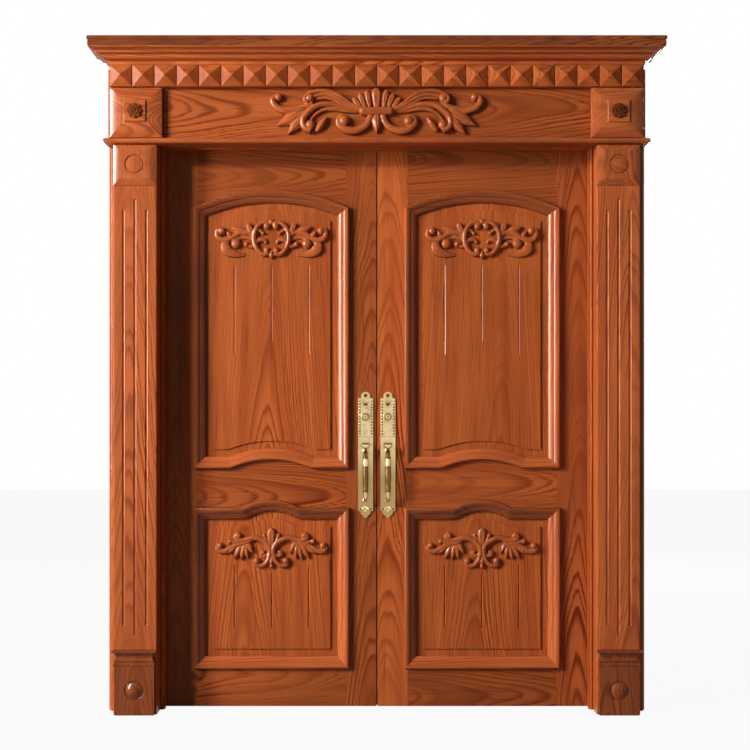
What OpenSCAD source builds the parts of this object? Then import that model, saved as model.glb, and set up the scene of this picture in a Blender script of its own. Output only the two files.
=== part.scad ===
/* [Leaves] */
// Width of one leaf
leaf_w = 800; // [760:1:880]
// Height of one leaf
leaf_h = 2099; // [2060:1:2300]
// Thickness of the stiles and rails
leaf_t = 48; // [46:1:60]
// Gap under the leaves
floor_gap = 5; // [3:0.5:12]
// Gap between the two meeting stiles
meeting_gap = 4; // [4:0.5:6]
// Gap between the lips at the back of the meeting stiles
lip_gap = 0.7; // [0.6:0.1:1.5]
// Gap between a leaf and its jamb
hinge_gap = 3; // [2:0.5:4]
// Depth of the leaf face behind the wall face
leaf_setback = 33; // [28:1:50]

/* [Stiles and rails] */
// Lock stile, from its edge to the panel moulding
lock_stile_w = 101.5; // [98:0.5:120]
// Hinge stile, from its edge to the panel moulding
hinge_stile_w = 113; // [100:0.5:130]
// Bottom rail, up to the panel moulding
bottom_rail_h = 143; // [120:1:200]
// Lock rail, between the two mouldings
lock_rail_h = 147; // [130:1:180]
// Top rail, over the crown of the arch
top_rail_h = 158; // [140:1:200]
// Length of the tenons in the stiles
tenon_l = 45; // [30:1:60]
// Thickness of the tenons
tenon_t = 14; // [12:1:18]
// Distance of the tenons from the rails' edges
tenon_inset = 25; // [20:1:30]

/* [Panels] */
// Height of the lower panel with its moulding
lower_panel_h = 605; // [560:1:640]
// Rise of the arch at the top of the upper panel
arch_rise = 65; // [40:1:90]
// Half length of the curve at the foot of the upper panel
upper_bump_half = 162; // [140:1:180]
// Rise of that curve
upper_bump_rise = 32; // [20:1:40]
// Half length of the curve at the head of the lower panel
lower_bump_half = 112; // [100:1:140]
// Rise of that curve
lower_bump_rise = 30; // [20:1:36]
// Depth of the panel margin under the leaf face
panel_sink = 12; // [9:0.5:14]
// Rise of the raised field over the margin
field_rise = 6; // [4:0.5:8]
// Width of the sunk margin round the field
margin_w = 28; // [20:1:36]
// Thickness of the tongue that the frame holds
tongue_t = 12; // [8:1:14]
// Width of the V grooves in the field
groove_w = 7; // [5:0.5:9]
// Distance between the V grooves
groove_pitch = 140; // [120:1:150]

/* [Panel moulding] */
// Width of the moulding
moulding_w = 44; // [38:1:50]
// Height of its roll over the leaf face
moulding_h = 20; // [15:1:24]
// Lap of the moulding over the stiles and rails
lap = 12; // [10:0.5:16]

/* [Carving] */
// Relief of the panel carvings
panel_relief = 18; // [12:1:22]
// Relief of the frieze carving
frieze_relief = 24; // [16:1:28]

/* [Frame] */
// Thickness of the jambs
jamb_t = 40; // [30:1:50]
// Lap of the stop over the leaf edge
stop_lap = 9; // [7:0.5:12]
// Radius of the bead on the jamb edge
jamb_bead_r = 5; // [4:0.5:6]
// Width of the side casings
casing_w = 190; // [180:1:220]
// Thickness of the casings
casing_t = 28; // [22:1:35]
// Width of the casing on the back
back_casing_w = 80; // [60:1:100]
// Thickness of the casing on the back
back_casing_t = 18; // [14:1:22]
// Radius of the wall fixing holes
fixing_r = 5; // [4:0.5:6]
// Distance between the two wall fixings of a jamb
fixing_pitch = 1300; // [1000:10:1500]

/* [Pilasters] */
// Width of the shaft
shaft_w = 159; // [145:1:175]
// Depth of the shaft in front of the casing
shaft_d = 54; // [40:1:70]
// Width of the flutes
flute_w = 11; // [8:0.5:14]
// Distance between the flutes
flute_pitch = 42; // [36:1:46]
// Height of the plinth block
plinth_h = 181; // [160:1:200]
// Width of the plinth block
plinth_w = 146; // [136:1:150]
// Depth of the plinth block in front of the shaft
plinth_d = 18; // [12:1:24]
// Height of the moulding on the plinth block
plinth_cap_h = 56; // [48:1:64]
// Height of the capital block
capital_h = 152; // [140:1:170]
// Depth of the capital block in front of the shaft
capital_d = 13; // [12:1:18]
// Radius of the turned rings on both blocks
ring_r = 33; // [26:1:36]

/* [Entablature] */
// Height of the bead moulding under the frieze
bead_h = 20; // [16:1:26]
// Projection of that bead in front of the shaft
bead_d = 20; // [16:1:26]
// Height of the frieze
frieze_h = 191; // [185:1:215]
// Thickness of the frieze board
frieze_t = 35; // [25:1:45]
// Width of the corner blocks
corner_w = 192; // [180:1:200]
// Width of the raised square on a corner block
corner_plate_w = 79; // [70:1:90]
// Thickness of that square
corner_plate_t = 5; // [4:0.5:7]
// Thickness of a corner block under its slopes
corner_base_t = 20; // [16:1:24]
// Rise of a corner block's slopes
corner_rise = 20; // [15:1:24]
// Diameter of the dark rosettes
rosette_d = 56; // [50:1:60]
// Height of the band of pyramids
pyramid_h = 79; // [70:1:90]
// Height of the pyramids over their board
pyramid_rise = 19; // [12:1:24]
// Height of the cornice
cornice_h = 87; // [80:1:100]
// Projection of the cornice in front of the band
cornice_d = 70; // [60:1:80]

/* [Hinges] */
// Height of a hinge
hinge_h = 110; // [90:1:130]
// Radius of the knuckles
knuckle_r = 7; // [6:0.5:8]
// Radius of the hinge pins
pin_r = 3.5; // [3:0.25:4]
// Thickness of the hinge plates
hinge_plate_t = 3; // [2.5:0.25:3.5]

/* [Handles] */
// Distance of the handle from the stile's edge
backset = 40; // [38:1:46]
// Height of the thumb piece over the lock rail
thumb_over_rail = 90; // [70:1:110]
// Width of the handle plates
plate_w = 56; // [50:1:60]
// Thickness of the handle plates
plate_t = 4; // [3:0.5:5]
// Reach of the handle plates under the thumb piece
plate_foot = 250; // [240:1:270]
// Reach of the handle plates over the key
plate_head = 71; // [60:1:90]
// Length of the grip between its feet
grip_l = 186; // [170:1:195]
// Clear reach of the grip from the plate to its centre
grip_reach = 42; // [38:1:48]
// Radius of the grip at its feet
grip_r = 8; // [7:0.5:9]
// Radius of the inside knob
knob_r = 26; // [22:1:30]

/* [Lock] */
// Height of the key over the thumb piece
key_rise = 104; // [100:1:110]
// Thickness of the lock case
case_t = 18; // [16:1:20]
// Depth of the lock case behind its forend
case_d = 75; // [72:1:80]
// Travel of the latch bolt
latch_throw = 12; // [10:0.5:14]
// Travel of the dead bolt
dead_throw = 20; // [18:0.5:22]

/* [Fits] */
// Clearance of a running pin in its bore
run_clear = 0.08; // [0.04:0.01:0.1]
// Clearance of a sliding or seated piece
seat_clear = 0.3; // [0.2:0.05:0.4]
// Gap left at each mitre
mitre_gap = 0.3; // [0.2:0.05:0.4]

/* [Hidden] */
$fn = 32;
wood = "#7a3a22";
dark_wood = "#5a2c1c";
brass = "#a98a4e";
steel = "#8d8a84";

leaf_x0 = meeting_gap / 2;
leaf_x1 = leaf_x0 + leaf_w;
leaf_f = leaf_setback;
leaf_b = leaf_f + leaf_t;
leaf_mid = (leaf_f + leaf_b) / 2;
leaf_top = floor_gap + leaf_h;
lip_t = leaf_t / 2 - 14;
panel_x0 = leaf_x0 + lock_stile_w;
panel_x1 = leaf_x1 - hinge_stile_w;
panel_c = (panel_x0 + panel_x1) / 2;
panel_w = panel_x1 - panel_x0;
lower_z0 = floor_gap + bottom_rail_h;
lower_z1 = lower_z0 + lower_panel_h;
upper_z0 = lower_z1 + lock_rail_h;
thumb_z = upper_z0 + thumb_over_rail;
upper_z1 = leaf_top - top_rail_h - arch_rise;
upper_panel_h = upper_z1 - upper_z0;
arch_r = (panel_w * panel_w / 4 + arch_rise * arch_rise) / (2 * arch_rise);
arch_c = upper_z1 + arch_rise - arch_r;
bump_clear = 6;
upper_bump_r = moulding_w + bump_clear;
lower_bump_r = 8;
arch_steps = 8;
bend_steps = 2;
bump_steps = 5;
field_inset = moulding_w + margin_w;
margin_half = leaf_t / 2 - panel_sink;
field_half = margin_half + field_rise;
field_f = leaf_mid - field_half;
tongue_d = lap - 3;
groove_d = tongue_d + 1;
half_gap = mitre_gap / 2;
ornament_scale = panel_w / 585.5;
frieze_scale = frieze_h / 191;
upper_groove_z0 = upper_z0 + 0.437 * upper_panel_h;
upper_groove_z1 = upper_z1 - 216 * ornament_scale;
lower_groove_z0 = lower_z0 + 0.25 * lower_panel_h;
lower_groove_z1 = lower_z1 - 218 * ornament_scale;
upper_carving_z = upper_z1 - 117 * ornament_scale;
lower_carving_z = lower_z1 - 151 * ornament_scale;

stop_gap = 1;
jamb_step = 4;
stop_x = leaf_x1 - stop_lap;
rebate_x = leaf_x1 + hinge_gap;
inner_x = rebate_x + hinge_gap;
jamb_x1 = rebate_x + jamb_t;
stop_z = leaf_top - stop_lap;
rebate_z = leaf_top + hinge_gap;
inner_z = rebate_z + hinge_gap;
casing_x1 = inner_x + casing_w;
shaft_c = inner_x + shaft_w / 2;
shaft_f = -casing_t - shaft_d;
plinth_f = shaft_f - plinth_d;
capital_f = shaft_f - capital_d;
flute_margin = 55;
side_flute_margin = 94;
bead_z0 = inner_z - bead_h + 3;
bead_z1 = bead_z0 + bead_h;
bead_f = shaft_f - bead_d;
frieze_z1 = bead_z1 + frieze_h;
frieze_f = -casing_t - frieze_t;
band_z1 = frieze_z1 + pyramid_h;
band_f = frieze_f - 18;
band_x = casing_x1 - 18;
cornice_f = band_f - cornice_d;
corner_c = inner_x + (band_x - inner_x) / 2 - 10;
corner_f = frieze_f - corner_base_t;
corner_plate_f = corner_f - corner_rise - corner_plate_t;
corner_z = (bead_z1 + frieze_z1) / 2;
frieze_carving_z = corner_z + frieze_h / 24;

handle_x = leaf_x0 + backset;
plate_f = leaf_f - plate_t;
plate_z0 = thumb_z - plate_foot;
plate_b = leaf_b + plate_t;
grip_y = plate_f - grip_reach;
grip_z1 = thumb_z - 24;
grip_z0 = grip_z1 - grip_l;
grip_bend = 26;
pivot_y = plate_f - 7;
key_z = thumb_z + key_rise;
key_r = 8;
plate_h = key_z + plate_head - plate_z0;
thumb_pin_r = 2;
knob_neck_r = 9;
knob_len = 54;
back_reach = plate_b + knob_len;
forend_t = 3;
forend_w = 24;
forend_z0 = thumb_z - 62;
forend_z1 = key_z + 64;
case_z0 = thumb_z - 32;
case_z1 = key_z + 34;
bolt_t = 12;
latch_h = 18;
latch_z = thumb_z + 24;
latch_l = 40;
dead_h = 26;
dead_z = key_z - 34;
dead_l = 46;
pocket_gap = 10;
pocket_clear = 2;
latch_pocket_d = latch_throw + pocket_gap;
dead_pocket_d = dead_throw + pocket_gap;
pin_x = (leaf_x1 + rebate_x) / 2;
pin_y = leaf_b + knuckle_r + 1;
hinge_reach = 36;
hinge_zs = [floor_gap + 225, floor_gap + leaf_h / 2, leaf_top - 225];
y_mid = (-cornice_f - back_reach) / 2;

function flip(list) = [for (i = [len(list) - 1:-1:0]) list[i]];
function arc(c, r, a0, a1, n) = [for (i = [0:n]) c + r * [cos(a0 + (a1 - a0) * i / n),
    sin(a0 + (a1 - a0) * i / n)]];
function rest(list) = [for (i = [1:len(list) - 1]) list[i]];

// Points along a curved edge, left to right: side is 1 where the panel lies above it
function bump(z, half, rise, r, side, d) =
    let (phi = 2 * atan(rise / half), big = half / sin(phi) - r, zc = z + rise - big,
        rs = r - side * d, rb = big + side * d)
    rs > 0.5
    ? concat(arc([-half, z + r], rs, -90, phi - 90, bend_steps),
        rest(arc([0, zc], rb, 90 + phi, 90 - phi, bump_steps)),
        rest(arc([half, z + r], rs, -90 - phi, -90, bend_steps)))
    : let (psi = acos((z + side * d - zc) / rb))
        arc([0, zc], rb, 90 + psi, 90 - psi, bump_steps + 2 * bend_steps);
function arch_angle(d) = asin((panel_w / 2 - d) / (arch_r - d));
function arch_end(d) = arch_c + (arch_r - d) * cos(arch_angle(d));
function arch(d, trim = 0) =
    let (a = arch_angle(d) - trim / arch_r * 57.3)
    arc([0, arch_c], arch_r - d, 90 - a, 90 + a, arch_steps);
function upper_foot(d) = bump(upper_z0, upper_bump_half, upper_bump_rise, upper_bump_r, 1, d);
function lower_head(d) = bump(lower_z1, lower_bump_half, lower_bump_rise, lower_bump_r, -1, d);
function upper_outline(d) = let (w = panel_w / 2 - d)
    concat([[-w, upper_z0 + d]], upper_foot(d), [[w, upper_z0 + d]], arch(d));
function lower_outline(d) = let (w = panel_w / 2 - d)
    concat([[-w, lower_z0 + d], [w, lower_z0 + d], [w, lower_z1 - d]], flip(lower_head(d)),
        [[-w, lower_z1 - d]]);

// Lengths of a panel's moulding at inset d, cut short of the mitres by half the mitre gap
function upper_lengths(d) = let (w = panel_w / 2 - d, z0 = upper_z0 + d, z1 = arch_end(d)) [
    concat([[half_gap - w, z0]], upper_foot(d), [[w - half_gap, z0]]),
    [[w, z0 + half_gap], [w, z1 - half_gap]],
    arch(d, half_gap),
    [[-w, z1 - half_gap], [-w, z0 + half_gap]]];
function lower_lengths(d) = let (w = panel_w / 2 - d, z0 = lower_z0 + d, z1 = lower_z1 - d) [
    [[half_gap - w, z0], [w - half_gap, z0]],
    [[w, z0 + half_gap], [w, z1 - half_gap]],
    concat([[w - half_gap, z1]], flip(lower_head(d)), [[half_gap - w, z1]]),
    [[-w, z1 - half_gap], [-w, z0 + half_gap]]];

// Moulding sections as inset and height over the leaf face
function roll_section() = let (h = moulding_h, w = moulding_w, c = lap + seat_clear) [
    [0, 0], [0, h * 0.55], [w * 0.12, h * 0.95], [w * 0.3, h * 0.95], [w * 0.42, h * 0.5],
    [w * 0.72, h * 0.28], [w, -h * 0.28], [w, -panel_sink], [c, -panel_sink], [c, 0]];
function bead_section() = let (w = moulding_w, c = lap + seat_clear) [
    [c, -panel_sink], [c, 0], [w * 0.5, 0], [w, -panel_sink]];

module place(side = 1) {
    translate([0, y_mid, 0]) mirror([side < 0 ? 1 : 0, 0, 0]) children();
}

module slab(pts, y0, y1) {
    translate([0, y1, 0]) rotate([90, 0, 0]) linear_extrude(y1 - y0) polygon(pts);
}

module along_x(pts, x0, x1) {
    translate([x0, 0, 0]) rotate([90, 0, 90]) linear_extrude(x1 - x0) polygon(pts);
}

module along_z(pts, z0, z1) {
    translate([0, 0, z0]) linear_extrude(z1 - z0) polygon(pts);
}

module box(x0, x1, y0, y1, z0, z1) {
    translate([x0, y0, z0]) cube([x1 - x0, y1 - y0, z1 - z0]);
}

module rod_y(x, z, r, y0, y1) {
    translate([x, y0, z]) rotate([-90, 0, 0]) cylinder(r = r, h = y1 - y0);
}

module rod_x(y, z, r, x0, x1) {
    translate([x0, y, z]) rotate([0, 90, 0]) cylinder(r = r, h = x1 - x0);
}

// Skin between rings of equal count, closed at both ends
module loft(rings) {
    m = len(rings[0]);
    n = len(rings);
    polyhedron([for (r = rings) each r], concat(
        [[for (i = [m - 1:-1:0]) i]],
        [for (j = [0:n - 2], i = [0:m - 1]) let (k = (i + 1) % m, a = j * m)
            each [[a + i, a + k, a + m + k], [a + i, a + m + k, a + m + i]]],
        [[for (i = [0:m - 1]) (n - 1) * m + i]]));
}

// Block with a sloped edge all round its front
module bevelled_block(x0, x1, z0, z1, back, edge, front, bevel) {
    intersection() {
        along_x([[back, z0], [edge, z0], [front, z0 + bevel], [front, z1 - bevel], [edge, z1],
            [back, z1]], x0, x1);
        along_z([[x0, back], [x0, edge], [x0 + bevel, front], [x1 - bevel, front], [x1, edge],
            [x1, back]], z0, z1);
    }
}

// Moulding section of outward steps, mitred round the front and both ends
module wrapped_moulding(x0, x1, back, front, steps) {
    z0 = steps[0][1];
    z1 = steps[len(steps) - 1][1];
    intersection() {
        along_x(concat([[back, z0]], [for (p = steps) [front - p[0], p[1]]], [[back, z1]]),
            x0 - 2 * cornice_d, x1 + 2 * cornice_d);
        slab(concat([for (p = steps) [x1 + p[0], p[1]]], flip([for (p = steps) [x0 - p[0], p[1]]])),
            front - 2 * cornice_d, back);
    }
}

module turned_ring(x, z, front) {
    translate([x, front, z]) rotate([90, 0, 0]) rotate_extrude() translate([ring_r, 0]) circle(d = 6);
}

module dome(x, z, front, r, rise) {
    ball = (r * r + rise * rise) / (2 * rise);
    intersection() {
        translate([x, front + ball - rise, z]) sphere(ball);
        rod_y(x, z, r, front - rise, front);
    }
}

module jamb_cuts() {
    for (s = [-1, 1])
        rod_x(leaf_mid, (leaf_h + s * fixing_pitch) / 2, fixing_r, rebate_x - 1, jamb_x1 + 1);
    for (z = hinge_zs)
        box(rebate_x - 1, rebate_x + hinge_plate_t, leaf_b - hinge_reach, leaf_b + 1, z - hinge_h / 2,
            z + hinge_h / 2);
}

// Section of a jamb: a is the distance out from the opening, second is the depth
function jamb_section(stop, rebate, inner, outer) = concat(
    [[outer, leaf_b], [rebate, leaf_b], [rebate, leaf_f - stop_gap], [stop, leaf_f - stop_gap],
        [stop, jamb_step], [inner - 2 * jamb_bead_r, jamb_step]],
    arc([inner - jamb_bead_r, 0], jamb_bead_r, 180, 360, 10),
    [[outer, 0]]);

module jamb(side) {
    section = jamb_section(stop_x, rebate_x, inner_x, jamb_x1);
    color(wood) place(side) difference() {
        union() {
            along_z(section, 0, stop_z);
            box(rebate_x, jamb_x1, leaf_f - stop_gap, leaf_b, stop_z, rebate_z);
            intersection() {
                along_z(section, stop_z, inner_z - 2 * jamb_bead_r);
                box(stop_x, jamb_x1, -2 * jamb_bead_r, jamb_step, stop_z, inner_z);
            }
        }
        jamb_cuts();
    }
}

module head_jamb() {
    top = rebate_z + jamb_t;
    color(wood) place() intersection() {
        along_x([for (p = jamb_section(stop_z, rebate_z, inner_z, top)) [p[1], p[0]]], -jamb_x1, jamb_x1);
        along_z([[-jamb_x1, leaf_b], [-jamb_x1, 0], [-inner_x, 0], [-inner_x, -2 * jamb_bead_r],
            [inner_x, -2 * jamb_bead_r], [inner_x, 0], [jamb_x1, 0], [jamb_x1, leaf_b]], stop_z, top);
    }
}

module casing(side) {
    edge = 12;
    color(wood) place(side)
        along_z(concat([[inner_x, 0], [inner_x, -casing_t]],
            arc([casing_x1 - edge - 6, edge - casing_t], edge, -90, 0, 6),
            [[casing_x1 - 6, -8], [casing_x1, -8], [casing_x1, 0]]), 0, inner_z);
}

module head_casing() {
    color(wood) place() box(-casing_x1, casing_x1, -casing_t, 0, inner_z, band_z1);
}

module flute(x, z0, z1) {
    translate([x, shaft_f, z0]) cylinder(d = flute_w, h = z1 - z0);
    for (z = [z0, z1]) translate([x, shaft_f, z]) sphere(d = flute_w);
}

module pilaster(side) {
    foot = plinth_h + plinth_cap_h;
    head = bead_z0 - capital_h;
    corner = 3;
    color(wood) place(side) difference() {
        along_z([[inner_x, -casing_t], [inner_x, shaft_f + corner], [inner_x + corner, shaft_f],
            [inner_x + shaft_w - corner, shaft_f], [inner_x + shaft_w, shaft_f + corner],
            [inner_x + shaft_w, -casing_t]], 0, bead_z0);
        flute(shaft_c, foot + flute_margin, head - flute_margin);
        for (s = [-1, 1])
            flute(shaft_c + s * flute_pitch, foot + side_flute_margin, head - side_flute_margin);
    }
}

module plinth_block(side) {
    x0 = shaft_c - plinth_w / 2;
    x1 = shaft_c + plinth_w / 2;
    z1 = plinth_h + plinth_cap_h;
    cove = plinth_cap_h - 26;
    color(wood) place(side) {
        difference() {
            box(x0, x1, plinth_f, shaft_f, 0, plinth_h);
            turned_ring(shaft_c, plinth_h / 2, plinth_f);
        }
        dome(shaft_c, plinth_h / 2, plinth_f, ring_r - 5, 9);
        wrapped_moulding(x0, x1, shaft_f, plinth_f, concat([[2, plinth_h], [3, plinth_h + 5],
            [2, plinth_h + 10], [-2, plinth_h + 13]],
            [for (p = arc([8, plinth_h + 15 + cove / 2], cove / 2, 240, 150, 6)) p],
            [[2, z1 - 8], [9, z1 - 7], [9, z1]]));
    }
}

module capital_block(side) {
    z = bead_z0 - capital_h / 2;
    x1 = inner_x + shaft_w;
    color(wood) place(side) {
        difference() {
            bevelled_block(inner_x, x1, bead_z0 - capital_h, bead_z0, shaft_f, shaft_f - 2, capital_f, 24);
            turned_ring(shaft_c, z, capital_f);
        }
        dome(shaft_c, z, capital_f, ring_r - 5, 3);
    }
}

module architrave_bead() {
    nose = bead_h / 2;
    turn = arc([0, bead_z0 + nose], nose, -90, 90, 10);
    color(wood) place()
        wrapped_moulding(-casing_x1 - 3 + nose, casing_x1 + 3 - nose, -casing_t, bead_f + nose, turn);
}

module frieze_board() {
    color(wood) place() box(-band_x, band_x, frieze_f, -casing_t, bead_z1, frieze_z1);
}

module corner_block(side) {
    edge = 4;
    h = frieze_h / 2 - edge;
    square = corner_plate_w / 2;
    color(wood) place(side) {
        bevelled_block(corner_c - corner_w / 2, corner_c + corner_w / 2, corner_z - h, corner_z + h,
            frieze_f, corner_f, corner_f - corner_rise, h - square - 3);
        box(corner_c - square, corner_c + square, corner_plate_f, corner_f - corner_rise,
            corner_z - square, corner_z + square);
    }
}

module corner_rosettes() {
    r = 28;
    color(dark_wood) for (side = [-1, 1]) place(side)
        translate([corner_c, corner_plate_f, corner_z]) rotate([90, 0, 0])
            scale(rosette_d / r / 2) rotate_extrude()
                polygon(concat([[0, 0], [r, 0]], arc([r - 4, 2], 4, 0, 90, 4), [[r - 9, 4]],
                    arc([r - 15, 5], 5, 0, 120, 5), [[8, 5]], arc([0, 3], 8, 15, 90, 5)));
}

// Row of square pyramids with low upright sides, each on its own step
module pyramid_band() {
    count = round(2 * band_x / 81.6);
    pitch = 2 * band_x / count;
    gap = 1.5;
    step = band_f - 3;
    peak = band_f - pyramid_rise;
    color(wood) place() intersection() {
        along_z(concat([[-band_x, -casing_t]], [for (i = [0:count - 1]) let (x = -band_x + i * pitch)
            each [[x, band_f], [x + gap, band_f], [x + gap, step], [x + pitch / 2, peak],
                [x + pitch - gap, step], [x + pitch - gap, band_f]]],
            [[band_x, band_f], [band_x, -casing_t]]), frieze_z1, band_z1);
        along_x([[-casing_t, frieze_z1], [step, frieze_z1], [peak, (frieze_z1 + band_z1) / 2],
            [step, band_z1], [-casing_t, band_z1]], -band_x - 1, band_x + 1);
    }
}

module cornice() {
    d = cornice_d;
    h = cornice_h;
    z = band_z1;
    steps = concat([[5, z], [5, z + h * 0.15], [9, z + h * 0.17]],
        [for (p = arc([9, z + h * 0.17 + d * 0.3], d * 0.3, -60, -10, 5)) p],
        [for (p = arc([d * 0.92, z + h * 0.24], d * 0.36, 150, 96, 5)) p],
        [[d * 0.93, z + h * 0.55], [d * 0.95, z + h * 0.58], [d * 0.97, z + h * 0.7],
            [d * 0.95, z + h * 0.83], [d, z + h * 0.86], [d, z + h]]);
    color(wood) place() wrapped_moulding(-band_x, band_x, 0, band_f, steps);
}

module back_casing() {
    x0 = pin_x + knuckle_r + 4;
    x1 = x0 + back_casing_w;
    z0 = rebate_z + 8;
    color(wood) {
        for (side = [-1, 1]) place(side)
            slab([[x0, 0], [x1, 0], [x1, z0 + back_casing_w], [x0, z0]], leaf_b, leaf_b + back_casing_t);
        place() slab([[-x0, z0 + mitre_gap], [x0, z0 + mitre_gap],
            [x1, z0 + back_casing_w + mitre_gap], [-x1, z0 + back_casing_w + mitre_gap]],
            leaf_b, leaf_b + back_casing_t);
    }
}

// Knuckles of one hinge: first is 0 for the jamb's three and 1 for the leaf's two
module knuckles(z, first, bore) {
    pitch = hinge_h / 5;
    for (i = [first:2:4])
        translate([0, 0, z - hinge_h / 2 + i * pitch + seat_clear]) difference() {
            union() {
                translate([pin_x, pin_y, 0]) cylinder(r = knuckle_r, h = pitch - 2 * seat_clear);
                if (first == 0)
                    box(rebate_x, rebate_x + hinge_plate_t, leaf_b - 4, pin_y, 0, pitch - 2 * seat_clear);
                else
                    box(leaf_x1 - hinge_plate_t, leaf_x1, leaf_b - 4, pin_y, 0, pitch - 2 * seat_clear);
            }
            if (bore > 0) translate([pin_x, pin_y, -1]) cylinder(r = bore, h = pitch + 2);
        }
}

module frame_hinges() {
    color(brass) for (side = [-1, 1]) place(side) for (z = hinge_zs) {
        box(rebate_x, rebate_x + hinge_plate_t, leaf_b - hinge_reach, leaf_b, z - hinge_h / 2,
            z + hinge_h / 2);
        knuckles(z, 0, 0);
        translate([pin_x, pin_y, z - hinge_h / 2]) cylinder(r = pin_r, h = hinge_h);
    }
}

module leaf_hinges(side) {
    color(brass) place(side) for (z = hinge_zs) {
        box(leaf_x1 - hinge_plate_t, leaf_x1, leaf_b - hinge_reach, leaf_b, z - hinge_h / 2,
            z + hinge_h / 2);
        knuckles(z, 1, pin_r + run_clear);
    }
}

// Space for the panels' tongues, cut into the stiles and rails
module panel_grooves() {
    half = tongue_t / 2 + seat_clear;
    translate([panel_c, 0, 0]) {
        slab(upper_outline(lap - groove_d), leaf_mid - half, leaf_mid + half);
        slab(lower_outline(lap - groove_d), leaf_mid - half, leaf_mid + half);
    }
}

// Tenons of the three rails, or their mortises when grow is the clearance
module tenons(grow) {
    half = tenon_t / 2 + grow;
    x0 = panel_x0 + lap - tenon_l - grow;
    x1 = panel_x1 - lap + tenon_l + grow;
    for (span = [[arch_end(lap) + tenon_inset, leaf_top - tenon_inset],
            [lower_z1 - lap + tenon_inset, upper_z0 + lap - tenon_inset],
            [floor_gap + tenon_inset, lower_z0 + lap - tenon_inset]])
        box(x0, x1, leaf_mid - half, leaf_mid + half, span[0] - grow, span[1] + grow);
}

module rail_tenons(z0, z1) {
    difference() {
        intersection() {
            tenons(0);
            box(leaf_x0, leaf_x1, leaf_f, leaf_b, z0, z1);
        }
        box(panel_x0 + lap, panel_x1 - lap, leaf_f, leaf_b, z0, z1);
    }
}

module hinge_stile(side) {
    color(wood) place(side) difference() {
        box(panel_x1 - lap, leaf_x1, leaf_f, leaf_b, floor_gap, leaf_top);
        panel_grooves();
        tenons(seat_clear);
        for (z = hinge_zs)
            box(leaf_x1 - hinge_plate_t, leaf_x1 + 1, leaf_b - hinge_reach, leaf_b + 1,
                z - hinge_h / 2, z + hinge_h / 2);
    }
}

module forend_space() {
    box(leaf_x0 - 1, leaf_x0 + forend_t, leaf_mid - forend_w / 2, leaf_mid + forend_w / 2,
        forend_z0, forend_z1);
}

module bolt_space(z, h, depth, grow) {
    box(leaf_x0 - 1, leaf_x0 + depth, leaf_mid - bolt_t / 2 - grow, leaf_mid + bolt_t / 2 + grow,
        z - h / 2 - grow, z + h / 2 + grow);
}

module lever_slot() {
    box(handle_x - 7, handle_x + 7, leaf_f - 1, leaf_mid - case_t / 2, thumb_z - 14, thumb_z + 14);
}

module lock_stile(side) {
    color(wood) place(side) difference() {
        union() {
            box(leaf_x0, panel_x0 + lap, leaf_f, leaf_b, floor_gap, leaf_top);
            box(lip_gap / 2, leaf_x0, leaf_b - lip_t, leaf_b, floor_gap, leaf_top);
        }
        panel_grooves();
        tenons(seat_clear);
        forend_space();
        lever_slot();
        if (side > 0) {
            box(leaf_x0, leaf_x0 + forend_t + case_d + seat_clear, leaf_mid - case_t / 2,
                leaf_mid + case_t / 2, case_z0, case_z1);
            rod_y(handle_x, key_z, key_r + 1, leaf_f - 1, leaf_b + 1);
            rod_y(handle_x, thumb_z, knob_neck_r + 1, leaf_mid, leaf_b + 1);
        } else {
            bolt_space(latch_z, latch_h, latch_pocket_d, pocket_clear);
            bolt_space(dead_z, dead_h, dead_pocket_d, pocket_clear);
        }
    }
}

module top_rail(side) {
    w = panel_w / 2 - lap;
    color(wood) place(side) difference() {
        union() {
            translate([panel_c, 0, 0])
                slab(concat(arch(lap), [[-w, leaf_top], [w, leaf_top]]), leaf_f, leaf_b);
            rail_tenons(upper_z1 - lap, leaf_top);
        }
        panel_grooves();
    }
}

module lock_rail(side) {
    w = panel_w / 2 - lap;
    color(wood) place(side) difference() {
        union() {
            translate([panel_c, 0, 0])
                slab(concat([[-w, lower_z1 - lap]], lower_head(lap), [[w, lower_z1 - lap],
                    [w, upper_z0 + lap]], flip(upper_foot(lap)), [[-w, upper_z0 + lap]]), leaf_f, leaf_b);
            rail_tenons(lower_z1 - lap, upper_z0 + lap);
        }
        panel_grooves();
    }
}

module bottom_rail(side) {
    color(wood) place(side) difference() {
        union() {
            box(panel_x0 + lap, panel_x1 - lap, leaf_f, leaf_b, floor_gap, lower_z0 + lap);
            rail_tenons(floor_gap, lower_z0 + lap);
        }
        panel_grooves();
    }
}

module v_groove(x, z0, z1) {
    side = groove_w / sqrt(2);
    translate([x, field_f, z0]) rotate([0, 0, 45]) translate([-side / 2, -side / 2, 0])
        cube([side, side, z1 - z0]);
}

module upper_panel(side) {
    color(wood) place(side) translate([panel_c, 0, 0]) difference() {
        union() {
            slab(upper_outline(lap - tongue_d), leaf_mid - tongue_t / 2, leaf_mid + tongue_t / 2);
            slab(upper_outline(lap + seat_clear), leaf_mid - margin_half, leaf_mid + margin_half);
            slab(upper_outline(field_inset), leaf_mid - field_half, leaf_mid + field_half);
        }
        v_groove(0, upper_groove_z0 + 52, upper_groove_z1);
        for (s = [-1, 1]) v_groove(s * groove_pitch, upper_groove_z0, upper_groove_z1);
    }
}

module lower_panel(side) {
    color(wood) place(side) translate([panel_c, 0, 0]) difference() {
        union() {
            slab(lower_outline(lap - tongue_d), leaf_mid - tongue_t / 2, leaf_mid + tongue_t / 2);
            slab(lower_outline(lap + seat_clear), leaf_mid - margin_half, leaf_mid + margin_half);
            slab(lower_outline(field_inset), leaf_mid - field_half, leaf_mid + field_half);
        }
        v_groove(0, lower_groove_z0, lower_groove_z1 - 33);
        for (s = [-1, 1]) v_groove(s * groove_pitch, lower_groove_z0, lower_groove_z1);
    }
}

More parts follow.
